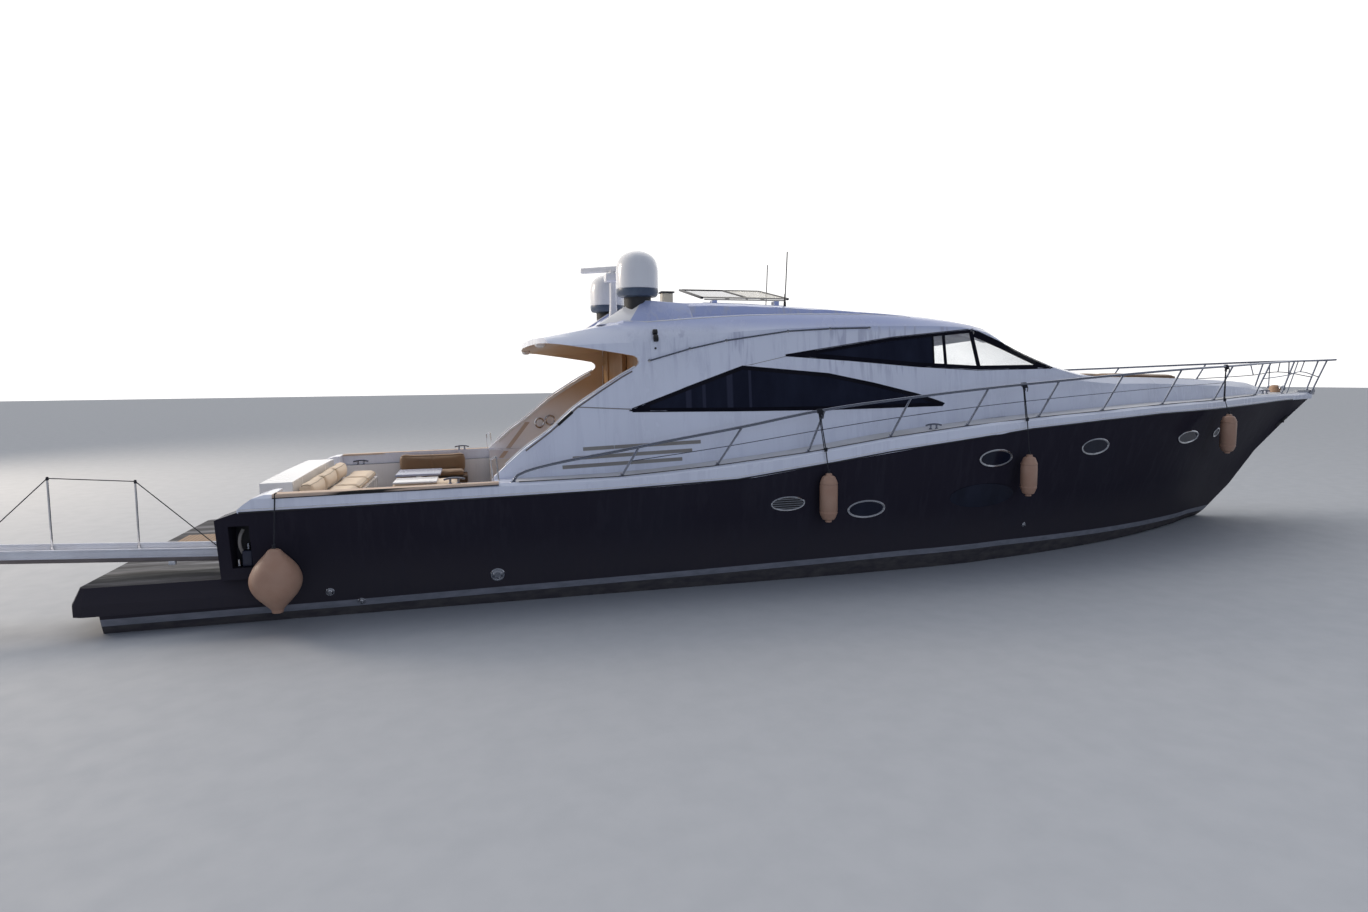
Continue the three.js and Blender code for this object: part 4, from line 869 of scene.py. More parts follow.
# Rings of a cutter that takes a ledge out of the roof round its upper tier
def tier_rings():
    roof = target("roof_moulding")

    def height(place):
        return roof.ray_cast(Vector((place.x, place.y, 6)), Vector((0, 0, -1)))[0].z

    path = [*TIER, *((x, -y, depth) for x, y, depth in reversed(TIER[:-1]))]
    rings = []
    for i, (x, y, depth) in enumerate(path):
        ahead, behind = Vector(path[max(i - 1, 0)][:2]), Vector(path[min(i + 1, len(path) - 1)][:2])
        along = (behind - ahead).normalized()
        out = Vector((-along.y, along.x, 0))
        aft = max(-out.x, 0)
        foot = Vector((x, y, 0))
        rim = foot + out * (0.22 + 0.1 * aft)
        outer = rim + out * 0.08
        low, edge = height(foot) - depth, height(rim)
        rings.append([Vector((x, y, low)), Vector((rim.x, rim.y, edge)), Vector((outer.x, outer.y, edge + 0.05)),
                      Vector((outer.x, outer.y, edge + 0.6)),
                      Vector((x, y, low + 0.42)) - out * (0.16 + 0.24 * aft)])
    return rings


def build_house():
    rings = tier_rings()
    notches = [side_plate(NOTCH, *sorted((sign * 1.9, sign * 2.7))) for _, sign in SIDES]
    crest = pipe([ring[1] + Vector((0, 0, -0.004)) for ring in rings], 0.012)
    piece("tier_crest", crest, WHITE_PLAIN)
    roof = carved(merged("roof_moulding"), loft(rings), *notches)
    piece("roof_moulding_skin", roof, WHITE, "roof_moulding", angle=30, paints=[(LINING, lined)])
    for side, sign in SIDES:
        wall = carved(merged(f"cabin_side_{side}"), side_plate(NOTCH, *sorted((sign * 1.8, sign * 2.7))))
        piece(f"cabin_side_{side}_skin", wall, WHITE, f"cabin_side_{side}", angle=30, paints=[(LINING, lined)])
    dress("saloon_bulkhead", BULKHEAD)
    dress("bulkhead_pane", SMOKED)
    dress("windscreen", CLEAR_GLASS, 40)


def build_roof_fittings():
    rings = []
    for x, z, lean in ((5.84, 2.15, 0.3), (6.04, 2.2, -0.2)):
        turn = Matrix.Translation((x, 2.1, z)) @ Matrix.Rotation(lean, 4, "Z")
        rings.append(pipe([turn @ Vector((u * 0.085, 0, v * 0.085)) for u, v in circle(32)], 0.017, closed=True))
        rings.append(pipe([turn @ Vector((0, y, -0.085)) for y in (0, 0.1)], 0.01, 10))
    piece("wing_rings", gather(*rings), STEEL)
    piece("roof_box", block((7.54, -0.92, 4.07), (7.72, -0.76, 4.29), 0.025, 4), CREAM_PLASTIC)
    piece("roof_box_lid", block((7.52, -0.94, 4.285), (7.74, -0.74, 4.31)), RUBBER)


build_house()


# Light rails along the wings' aft edges, a lamp under each tip and hoops at the feet
@both
def wing(side, sign):
    pairs = []
    for x, z in WING_EDGE:
        inner = [HOUSE_SKIN.ray_cast(Vector((x + dx, 0, z + dz)), Vector((0, sign, 0)))[0]
                 for dx, dz in ((0.008, -0.014), (0.028, -0.044))]
        pairs.append([place - Vector((0, sign * 0.008, 0)) for place in inner])
    piece(f"wing_border_{side}", ribbon(pairs, 0.012), WHITE_PLAIN)
    # A brown-grey line under the wing's white edge: painted shade along the edge
    seal_shade = [(5.323, 2.032), *((x + 0.012, z - 0.016) for x, z in WING_EDGE[2:])]
    piece(f"wing_seal_shade_{side}", side_line(HOUSE_SKIN, seal_shade, sign, 0.012, step=0.08), SHADE_BROWN)
    grip = side_line(HOUSE_SKIN, [(5.76, 2.365), (5.96, 2.535)], sign, 0.022, 0.0, 12, 0.08)
    piece(f"wing_grip_{side}", grip, BLACK)
    edge = [(x - 0.012, on_side(HOUSE_SKIN, x + 0.03, z - 0.04, sign)[0].y - sign * 0.03, z + 0.01)
            for x, z in (*WING_EDGE, (6.87, 3.13))]
    piece(f"wing_edge_{side}", pipe(edge, 0.012, smooth=True), WHITE_PLAIN)
    strips = [ribbon([[inner_side(x + dx, z, sign) for dx in (-0.042, 0.042)] for x, z in rows], 0.01)
              for rows in INNER_STRIPS]
    piece(f"wing_strip_{side}", gather(*strips), WING_STRIP)
    lamp = [(0, 0.005), (0.06, 0.005), (0.075, -0.015), (0.07, -0.05), (0.045, -0.07), (0, -0.075)]
    piece(f"tip_lamp_{side}", lathe(lamp, (5.6, sign * 1.65, 3.49), steps=32), WHITE_PLAIN)
    head = (4.93, sign * 2.4, 1.975)
    hoop = gather(pipe([(4.88, sign * 2.42, 1.62), (4.86, sign * 2.42, 1.94), head], 0.011),
                  pipe([(4.96, sign * 2.42, 1.62), head], 0.011))
    piece(f"side_post_{side}", hoop, STEEL)


build_roof_fittings()


# A closed outline moved inwards
def shrunk(outline, amount):
    out = []
    for i, (x, z) in enumerate(outline):
        (x0, z0), (x1, z1) = outline[i - 1], outline[(i + 1) % len(outline)]
        before, after = Vector((x - x0, z - z0)).normalized(), Vector((x1 - x, z1 - z)).normalized()
        normals = Vector((before.y, -before.x)), Vector((after.y, -after.x))
        middle = (normals[0] + normals[1]).normalized()
        reach = min(amount / max(middle.dot(normals[0]), 0.3), amount * 2.2)
        out.append((x + middle.x * reach, z + middle.y * reach))
    return out


@both
def side_windows(side, sign):
    dress(f"window_lower_{side}", SIDE_GLASS, 40)
    for window, outline, width, tips in (
            ("lower", shrunk(WINDOW_LOW, SEAL_INSET), LOWER_SEAL, LOWER_TIPS),
            ("upper", WINDOW_HIGH, UPPER_SEAL, UPPER_TIPS)):
        piece(f"{window}_gasket_{side}", side_band(outline + outline[:1], sign, width, lift=SEAL_LIFT), GASKET)
        for name, rows in tips.items():
            fill = [[on_side(HOUSE_SKIN, x, z, sign, TIP_LIFT)[0] for z in ends] for x, *ends in rows]
            piece(f"{name}_{side}", ribbon(fill, 0.003), GASKET)
    for number, (ends, width) in enumerate(UPPER_BARS):
        piece(f"upper_bar_{side}_{number}", side_band(ends, sign, width, lift=BAR_LIFT), GASKET)
    node = f"window_upper_{side}"
    for part, clear, material in (("aft", "clear_outer", SIDE_GLASS), ("forward", "clear_inner", CLEAR_GLASS)):
        bm = merged(node)
        cut = bmesh.ops.bisect_plane(bm, geom=bm.verts[:] + bm.edges[:] + bm.faces[:], plane_co=(PANE_SPLIT, 0, 0),
                                     plane_no=(1, 0, 0), **{clear: True})["geom_cut"]
        bmesh.ops.holes_fill(bm, edges=only(BMEdge, cut))
        piece(f"{node}_{part}", bm, material, node, 40)


@both
def side_trim(side, sign):
    piece(f"grab_line_{side}", side_line(HOUSE_SKIN, SEAM_LINE, sign, 0.01, 0.03, 10), DARKENED_STEEL)
    # A black band under the grab line: painted shade of the groove behind it
    piece(f"grab_groove_shade_{side}", side_band(SEAM_LINE, sign, 0.02, 0.003), BLACK)
    foot = [(0, 0.036), (0.009, 0.036), (0.011, 0.01), (0.024, 0.004), (0.024, 0), (0, 0)]
    feet = [moved(lathe(foot, steps=20), seat_on(HOUSE_SKIN, x, z, sign)) for x, z in spaced(SEAM_LINE, 0.7)]
    piece(f"grab_feet_{side}", gather(*feet), STEEL)
    for number, ends in enumerate(STRIPES):
        piece(f"tan_stripe_{side}_{number}", side_band(ends, sign, 0.05), TAN_STRIPE)
    joint = side_band([(8.469, 3.135), (9.16, 3.284)], sign, 0.008, 0.002, 0.001)
    piece(f"panel_joint_{side}", joint, TAN_STRIPE)
    # A dark line along the knuckle: painted shade in the crease
    knuckle_shade = side_line(HOUSE_SKIN, [(6.03, 2.598), (6.78, 2.553)], sign, 0.008)
    piece(f"knuckle_{side}", knuckle_shade, TAN_STRIPE)
    seat = seat_on(HOUSE_SKIN, 7.17, 3.563, sign)
    lamp = [moved(block((-0.035, low, 0), (0.035, high, 0.06), 0.012), seat)
            for low, high in ((0.015, 0.085), (-0.1, -0.01))]
    piece(f"side_lamp_{side}", gather(*lamp), BLACK)
    button = lathe([(0, 0.02), (0.012, 0.018), (0.016, 0), (0, 0)], steps=20)
    piece(f"side_button_{side}", moved(button, seat_on(HOUSE_SKIN, 7.16, 3.394, sign)), BLACK)


# ---- Roof gear ----
# Half width is the dome's distance from the middle; profiles are radius and height
DOME_PLACE = (7.06, 1.37, 4.15)
DOME = [(0, 0.68), (0.06, 0.677), (0.12, 0.662), (0.18, 0.636), (0.23, 0.6), (0.267, 0.555), (0.29, 0.5),
        (0.304, 0.44), (0.31, 0.38), (0.31, 0.135), (0.303, 0.13), (0.3, 0.1), (0, 0.1)]
DOME_BAND = [(0, 0.128), (0.305, 0.128), (0.308, 0.1), (0.3, 0.05), (0.28, 0.02), (0.2, 0.005), (0, 0.0)]
# The wedge under each dome as its foot's and its top's outline: x, y, z
DOME_SEAT = (((6.42, 1.02, 3.72), (6.42, 1.62, 3.74), (6.85, 1.78, 3.765), (7.17, 1.82, 3.785), (7.8, 1.7, 3.84),
              (8.2, 1.02, 4.0)),
             ((7.02, 1.02, 4.12), (7.02, 1.35, 4.12), (7.1, 1.52, 4.11), (7.2, 1.58, 4.1), (7.8, 1.52, 4.07),
              (8.1, 1.02, 4.09)))


@both
def dome(side, sign):
    x, half, z = DOME_PLACE
    node, place = f"satellite_dome_{side}", (x, sign * half, z)
    piece(f"dome_shell_{side}", lathe(DOME, place, steps=72), WHITE_PLAIN, node, angle=40)
    piece(f"dome_band_{side}", lathe(DOME_BAND, place, steps=72), BLUE_BAND, node, angle=40)
    # A black disc under each dome: painted shadow at its foot
    piece(f"dome_foot_shadow_{side}", lathe([(0, 0.02), (0.2, 0.02), (0.2, -0.2), (0, -0.2)], place), RUBBER, node)
    wedge = bevelled(loft([[(x, sign * y, z) for x, y, z in ring] for ring in DOME_SEAT]), 0.012)
    # The wedge's sides take the gelcoat whose top carries painted bluish shade; its aft face stays plain white
    piece(f"dome_seat_{side}", wedge, WHITE_PLAIN, node, paints=[(WHITE, lambda place, normal: abs(normal.y) > 0.6)])


def build_radar():
    stem = [(0, 0.64), (0.05, 0.64), (0.055, 0.3), (0.07, 0.06), (0.1, 0.02), (0.1, -0.1), (0, -0.1)]
    post = gather(lathe(stem, (6.93, 0, 3.93), steps=32), block((6.8, -0.11, 4.54), (7.06, 0.11, 4.68), 0.03, 4))
    piece("radar_post_skin", post, WHITE_PLAIN, "radar_post")
    scanner = gather(block((-0.57, -0.045, -0.045), (0.57, 0.045, 0.045), 0.02, 4),
                     lathe([(0, -0.01), (0.05, -0.01), (0.05, -0.07), (0, -0.07)], steps=32))
    turned = Matrix.Translation((6.93, 0, 4.75)) @ Matrix.Rotation(math.radians(-35), 4, "Z")
    piece("radar_bar", moved(scanner, turned), WHITE_PLAIN, "radar_scanner")
    foot = [(0, 0.2), (0.008, 0.2), (0.012, 0.12), (0.02, 0.06), (0.022, 0), (0.034, -0.004), (0, -0.01)]
    for name, x, y, tip in (("antenna_port", 9.93, 0.9, 5.02), ("antenna_starboard", 9.46, -1.2, 4.92)):
        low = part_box(name)[0][2]
        rod = [(x, y, low + 0.05), (x + 0.02, y, (low + tip) / 2), (x + 0.04, y, tip)]
        whip = gather(lathe(foot, (x, y, low + 0.01), steps=20), pipe(rod, 0.0085, 8))
        piece(f"{name}_whip", whip, BLACK, name)


# The sunroof's lid: a dark frame, a see-through aft half and a beige forward half, built flat and then tilted
LID_AFT, LID_FORE, LID_MIDDLE, LID_WIDTH, LID_RIM = 8.22, 9.73, 9.02, 1.43, 0.045
LID_LEVEL, LID_THICK = 0.024, 0.036
LID_PLACE, LID_TILT = (0, -0.715, 4.215), 11


def build_sunroof():
    x0, x1, wide, rim = LID_AFT, LID_FORE, LID_WIDTH, LID_RIM
    low, high = LID_LEVEL - LID_THICK / 2, LID_LEVEL + LID_THICK / 2
    bars = [block((x0, 0, low), (x0 + rim, wide, high), 0.008),
            block((x1 - rim, 0, low), (x1, wide, high), 0.008),
            block((x0 + rim, wide - rim, low), (x1 - rim, wide, high), 0.008),
            block((LID_MIDDLE - 0.015, rim, low), (LID_MIDDLE + 0.015, wide - rim, high), 0.006)]
    hinge = [block((x0 + rim, 0, low + 0.01), (x1 - rim, rim, high), 0.008),
             pipe([(x0 + 0.06, 0, 0), (x1 - 0.06, 0, 0)], 0.011, 16)]
    for x in (x0 + 0.3 * (x1 - x0), x0 + 0.7 * (x1 - x0)):
        hinge.append(block((x - 0.03, 0, 0), (x + 0.03, 0.05, low + 0.01), 0.004))

    def pane(start, end):
        return block((start + 0.001, rim + 0.001, LID_LEVEL - 0.006),
                     (end - 0.001, wide - rim - 0.001, LID_LEVEL + 0.006), 0.002, 1)

    tilted = Matrix.Translation(LID_PLACE) @ Matrix.Rotation(math.radians(LID_TILT), 4, "X")
    for part, bm, material, slot in (
            ("frame", gather(*bars), BLACK, "black_plastic"),
            ("hinge", gather(*hinge), CREAM_PLASTIC, "black_plastic"),
            ("aft_pane", pane(x0 + rim, LID_MIDDLE - 0.015), TINTED_GLASS, "dark_glass"),
            ("forward_pane", pane(LID_MIDDLE + 0.015, x1 - rim), FROSTED, "dark_glass")):
        piece(f"sunroof_{part}", moved(bm, tilted), material, "sunroof_panel")


build_radar()
build_sunroof()


# ---- Rails ----
# Stanchions: x of the foot, then x, half width and height of the top
RAIL = ((5.17, 5.2, 2.62, 1.75), (6.55, 6.8, 2.62, 2.06), (7.88, 8.26, 2.62, 2.29), (9.23, 9.5, 2.62, 2.5),
        (10.52, 10.87, 2.62, 2.65), (11.81, 12.19, 2.6, 2.77), (13.17, 13.56, 2.47, 2.865),
        (14.55, 14.99, 2.25, 2.95), (16.14, 16.58, 1.87, 3.025), (17.87, 18.33, 1.34, 3.085),
        (19.6, 20.01, 0.72, 3.145), (20.86, 21.13, 0.33, 3.18), (21.99, 22.35, 0.09, 3.2))
FLANGE = [(0, 0.012), (0.018, 0.012), (0.02, 0.03), (0.014, 0.035), (0.013, 0.012), (0.038, 0.008), (0.04, 0.0),
          (0, 0)]


def rail_top(x, sign):
    half, z = between([row[1:] for row in RAIL], x)
    return Vector((x, sign * half, z))


def rail_foot(x, sign):
    return deck_point(x, sign * max(between(DECK_EDGE, x)[0] - 0.09, 0.06))


@both
def rails(side, sign):
    tops = [Vector((x, sign * half, z)) for _, x, half, z in RAIL]
    feet = [rail_foot(row[0], sign) for row in RAIL]
    start = rail_foot(RAIL[0][0] - 0.04, sign)
    tubes = [pipe([start, *tops, Vector((22.64, sign * 0.06, 3.21))], 0.02, 16, smooth=True)]
    middle = [(foot + top) / 2 for foot, top in zip(feet, tops)]
    tubes.append(pipe(middle[1:10], 0.0065, 8, smooth=True))
    low = [middle[10], Vector((20.93, sign * 0.38, 2.9)), Vector((21.43, sign * 0.24, 2.96)), middle[12]]
    tubes.append(pipe(low, 0.01, 10, smooth=True))
    for at, foot in ((20.87, low[1]), (21.27, deck_point(21.15, sign * 0.2)), (21.5, low[2])):
        tubes.append(pipe([rail_top(at, sign), foot], 0.011, 10))
    piece(f"rail_tubes_{side}", gather(*tubes), DARKENED_STEEL, f"rail_{side}", angle=50)
    posts = [pipe(ends, 0.0165) for ends in zip(feet[1:], tops[1:])]
    flanges = [lathe(FLANGE, foot, steps=24) for foot in feet[1:]]
    flanges.append(lathe([(0, 0.01), (0.038, 0.008), (0.04, 0.0), (0, 0)], start, steps=24))
    piece(f"rail_posts_{side}", gather(*posts, *flanges), HALF_DARKENED_STEEL, f"rail_{side}", angle=50)


# ---- Fenders ----
BALL = ((0.02, 0.0), (0.06, 0.0), (0.075, 0.045), (0.15, 0.13), (0.235, 0.23), (0.28, 0.33), (0.285, 0.43),
        (0.245, 0.54), (0.17, 0.64), (0.1, 0.715), (0.07, 0.755), (0.03, 0.775))
# Name, x, y, low, high, radius, lead of the line along X
FENDERS = (("fender_ball", 2.33, -2.83, 0.24, 1.02, 0.285, 0), ("fender_aft", 9.46, -2.85, 0.92, 1.62, 0.125, -0.04),
           ("fender_middle", 12.8, -2.79, 1.12, 1.76, 0.12, 0.06),
           ("fender_forward", 17.955, -1.64, 1.49, 2.21, 0.128, 0.12))


# A smooth curve through the points of a profile
def smoothed(points, steps=5):
    out = []
    for i in range(len(points) - 1):
        p0, p1, p2, p3 = (Vector(points[min(max(k, 0), len(points) - 1)]) for k in (i - 1, i, i + 1, i + 2))
        for step in range(steps):
            t = step / steps
            point = 0.5 * (2 * p1 + (p2 - p0) * t + (2 * p0 - 5 * p1 + 4 * p2 - p3) * t ** 2
                           + (3 * p1 - p0 - 3 * p2 + p3) * t ** 3)
            out.append((max(point[0], 0), point[1]))
    return [*out, points[-1]]


def knot(place, along, radius, turns):
    along = along.normalized()
    side = along.orthogonal().normalized()
    other = along.cross(side)
    points = []
    for i in range(turns * 10 + 1):
        turn = 2 * math.pi * i / 10
        points.append(place + along * (i / 10 - turns / 2) * 0.017
                      + (side * math.cos(turn) + other * math.sin(turn)) * radius)
    return pipe(points, 0.008, 8)


def build_fenders():
    for name, x, y, low, high, radius, lead in FENDERS:
        half, z = between(DECK_EDGE, x)
        ties = []
        if name == "fender_ball":
            profile = [(0, 0.004), *smoothed(BALL), (0, 0.77)]
            line = [(x, y, high - 0.02), (x, -half - 0.016, z - 0.06), (x, -half - 0.006, z + 0.01),
                    (x, -half + 0.06, z + 0.012), (x, -half + 0.09, z + 0.006)]
        else:
            end = ((0.025, 0.0), (0.045, 0.008), (0.047, 0.03), (0.08, 0.045), (radius - 0.025, 0.075),
                   (radius, 0.14))
            ridge = [(radius, 0.15), (radius - 0.004, 0.155), (radius - 0.004, 0.165), (radius, 0.17)]
            rise = smoothed(end, 4) + ridge
            height = high - low
            profile = [(0, 0.002), *rise, *((r, height - h) for r, h in reversed(rise)), (0, height - 0.002)]
            top = rail_top(x + lead, -1)
            edge = Vector((x + lead / 2, -half - 0.04, z))
            line = [(x, y, high - 0.02), edge, top - Vector((0, 0.004, 0.012))]
            along, drop = rail_top(x + lead + 0.3, -1) - top, edge - line[2]
            tail = [top + Vector(step) for step in ((0.03, -0.02, 0), (0.045, -0.03, -0.05), (0.04, -0.028, -0.11))]
            ties = [knot(top, along, 0.026, 5), knot(top + Vector((0.01, -0.01, -0.03)), along, 0.02, 4),
                    knot(top + drop.normalized() * 0.07, drop, 0.015, 3), pipe(tail, 0.007, 8, smooth=True),
                    pipe([top + Vector((-0.02, -0.012, -0.02)), edge + Vector((-0.025, 0, 0.01))], 0.008, 8),
                    knot(edge, Vector(UPWARD), 0.018, 3)]
        ties.append(knot(Vector((x, y, high + 0.02)), Vector(UPWARD), 0.014, 3))
        piece(f"{name}_body", lathe(profile, (x, y, low), steps=56), VINYL, name, angle=60)
        piece(f"{name}_line", gather(pipe(line, 0.008, 10), *ties), ROPE)
        eye = [(0, 0.02), (0.018, 0.018), (0.022, 0), (0.03, -0.01), (0, -0.02)]
        piece(f"{name}_eye", lathe(eye, (x, y, high), steps=20), BLACK)


build_fenders()


# ---- Boarding ramp ----
# Its middle line and half width, its pivot's x and z, its ends, and its rise along the run
RAMP_Y, RAMP_HALF = -1.7, 0.22
PIVOT = (1.48, 0.775)
RAMP_TIP, RAMP_ROOT = -1.9, 1.57
RAMP_RISE = (0.93 - PIVOT[1]) / (PIVOT[0] - RAMP_TIP)


def ramp_z(x, lift=0.0):
    return PIVOT[1] + (PIVOT[0] - x) * RAMP_RISE + lift


# A length of the ramp whose low and high edges are given over its sloping line at both ends
def ramp_part(x0, x1, y0, y1, low0, high0, low1, high1, bevel=0.004):
    corners = ((x0, low0), (x1, low1), (x1, high1), (x0, high0))
    return side_plate([(x, ramp_z(x, lift)) for x, lift in corners], y0, y1, bevel)


def ramp_piece(name, material, *parts):
    piece(f"ramp_{name}", gather(*parts), material, "boarding_ramp")


def build_ramp():
    tip, root = RAMP_TIP, RAMP_ROOT
    left, right = RAMP_Y - RAMP_HALF, RAMP_Y + RAMP_HALF
    beams, sides = [], []
    for low, high in ((left, left + 0.045), (right - 0.045, right)):
        beams.append(ramp_part(tip, root, low, high, -0.036, 0.012, -0.054, 0.006, 0.006))
        sides.append(ramp_part(tip, root, low + 0.003, high - 0.003, 0.01, 0.1, 0.004, 0.095, 0.018))
    beams.append(ramp_part(tip + 0.01, 1.385, left + 0.04, right - 0.04, -0.02, 0.012, -0.03, 0.03, 0))
    beams.append(ramp_part(tip, tip + 0.05, left, right, -0.036, 0.036, -0.036, 0.036, 0.01))
    for edge in (left + 0.016, right - 0.016):
        for y, start, end, radius in ((edge, 0.104, 0.1, 0.016), (edge - 0.006, 0.016, 0.01, 0.012)):
            sides.append(pipe([(tip + 0.01, y, ramp_z(tip, start)), (root - 0.01, y, ramp_z(root, end))], radius))
    # Painted shade on the beams below, painted highlight on the rails above
    ramp_piece("beams", SHADE_BROWN, *beams)
    ramp_piece("rails", RAMP_RAIL_LIT, *sides)
    walk = ramp_part(tip + 0.06, 1.38, left + 0.05, right - 0.05, 0.013, 0.027, 0.031, 0.043, 0.002)
    ramp_piece("walkway", RAMP_DECK, walk)
    lug = [(0, -0.114), (0.04, -0.114), (0.045, -0.108), (0.045, 0.108), (0.04, 0.114), (0, 0.114)]
    ramp_piece("lug", STEEL, lathe(lug, (PIVOT[0], RAMP_Y, PIVOT[1]), ACROSS, 32),
               block((1.33, RAMP_Y - 0.105, 0.745), (1.48, RAMP_Y + 0.105, 0.805)))
    ramp_piece("lamp", WHITE_PLAIN, block((0.9, left - 0.005, ramp_z(0.9, -0.1)),
                                          (0.98, left + 0.06, ramp_z(0.9, -0.045)), 0.012))
    y = right - 0.06
    posts, caps = [], []
    for x, z in ((-0.48, 1.82), (0.47, 1.74)):
        posts.append(pipe([(x - 0.015, y, ramp_z(x, 0.02)), (x, y, z)], 0.0125, 14))
        collar = [(0, 0.05), (0.018, 0.05), (0.02, 0.01), (0.032, 0.0), (0, 0)]
        posts.append(lathe(collar, (x - 0.015, y, ramp_z(x, 0.04)), steps=24))
        cap = [(0, 0.016), (0.012, 0.013), (0.017, 0.0), (0.016, -0.03), (0, -0.03)]
        caps.append(lathe(cap, (x, y, z), steps=24))
    ramp_piece("posts", STEEL, *posts)
    ends = [(-1.4, y, 0.925), (-0.48, y, 1.815), (0.47, y, 1.735), (1.37, y, 0.82)]
    ramp_piece("lines", ROPE, *(pipe(pair, 0.0065, 8) for pair in zip(ends, ends[1:])), *caps)
    bracket = [block((1.6, RAMP_Y - 0.15, 0.64), (1.7497, RAMP_Y + 0.15, 0.92), 0.012)]
    round_end = [(PIVOT[0] - 0.06 * math.sin(turn), PIVOT[1] - 0.06 * math.cos(turn))
                 for turn in (math.pi * k / 10 for k in range(1, 10))]
    outline = [(1.61, 0.715), (1.48, 0.715), *round_end, (1.48, 0.835), (1.61, 0.835)]
    for ear in (RAMP_Y - 0.13, RAMP_Y + 0.13):
        bracket.append(side_plate(outline, ear - 0.014, ear + 0.014, 0.003))
    nut = [(0, -0.016), (0.028, -0.016), (0.028, 0.0), (0, 0.0)]
    bracket.append(lathe(nut, (PIVOT[0], RAMP_Y - 0.146, PIVOT[1]), ACROSS, 6))
    piece("ramp_bracket_skin", gather(*bracket), STEEL, "ramp_bracket")


build_ramp()


# ---- Cushions ----
# Frames of the cloth simulation, how far a cover may swell, a seam's half width and depth, and a cushion's fill
FRAMES, SWELL, SEAM_HALF, SEAM_DEPTH, FILL = 14, 0.022, 0.03, 0.016, 0.7


# Swells a mesh by a short cloth simulation
def swollen(pad):
    cover = pad.modifiers.new("cover", "CLOTH")
    cover.settings.use_pressure = True
    cover.settings.uniform_pressure_force = 4
    cover.settings.effector_weights.gravity = 0
    cover.settings.quality = 4
    cover.settings.tension_stiffness = cover.settings.compression_stiffness = 12
    cover.collision_settings.use_collision = False
    rest = [vert.co.copy() for vert in pad.data.vertices]
    for frame_number in range(1, FRAMES + 1):
        bpy.context.scene.frame_set(frame_number)
    grown = [vert.co.copy() for vert in evaluated(pad).data.vertices]
    pad.modifiers.clear()
    bpy.context.scene.frame_set(1)
    for vert, before, after in zip(pad.data.vertices, rest, grown):
        move = after - before
        vert.co = before + (move.normalized() * SWELL if move.length > SWELL else move)


# A cushion whose cover swells a little and whose sides pull in between the corners; seams are an axis and a place
def stuffed(name, low, high, material, node, trim=None, voxel=0.022, corner=0.05, turn=None, seams=()):
    low, high = Vector(low), Vector(high)
    start = block(low + Vector((0.012, 0.012, 0.006)), high - Vector((0.012, 0.012, 0.012)), corner)
    pad = linked(f"{name}_start", mesh_of(f"{name}_start", start))
    remesh = pad.modifiers.new("remesh", "REMESH")
    remesh.mode, remesh.voxel_size = "VOXEL", voxel
    fine = bpy.data.meshes.new_from_object(evaluated(pad))
    pad.modifiers.clear()
    pad.data = fine
    swollen(pad)
    bm = bmesh.new()
    bm.from_mesh(fine)
    bpy.data.objects.remove(pad)
    for axis, at in seams:
        for vert in bm.verts:
            near = abs(vert.co[axis] - at)
            if vert.normal.z > -0.5 and near < SEAM_HALF:
                vert.co -= vert.normal * SEAM_DEPTH * (1 - near / SEAM_HALF) ** 2
    bmesh.ops.smooth_vert(bm, verts=bm.verts, factor=0.5, use_axis_x=True, use_axis_y=True, use_axis_z=True)
    for vert in bm.verts:
        vert.co.z = max(vert.co.z, low.z + 0.001)
    turn = turn or Matrix.Identity(4)
    moved(bm, turn)
    tree = BVHTree.FromBMesh(bm)
    obj = piece(name, bm, material, node, angle=180)
    crown = obj.modifiers.new("smooth", "SUBSURF")
    crown.levels = crown.render_levels = 1
    if trim:
        piece(f"{name}_piping", welt(low, high, tree, turn), trim)


# Piping round a cushion's top edge, laid on its finished cover
def welt(low, high, tree, turn, inset=0.02):
    x0, x1, y0, y1 = low.x + inset, high.x - inset, low.y + inset, high.y - inset
    corners = [(x0, y0), (x1, y0), (x1, y1), (x0, y1)]
    points = []
    for (x0, y0), (x1, y1) in zip(corners, corners[1:] + corners[:1]):
        count = max(int(math.hypot(x1 - x0, y1 - y0) / 0.04), 2)
        for i in range(count):
            place = Vector((x0 + (x1 - x0) * i / count, y0 + (y1 - y0) * i / count, high.z - 0.012))
            near, normal, _, _ = tree.find_nearest(turn @ place)
            points.append(near + normal * 0.002)
    return pipe(points, 0.006, 8, True)


# Shares of a length as equal cushions with a gap between them
def shares(low, high, count, gap=0.006):
    step = (high - low) / count
    return [(low + step * i + gap / 2, low + step * (i + 1) - gap / 2) for i in range(count)]


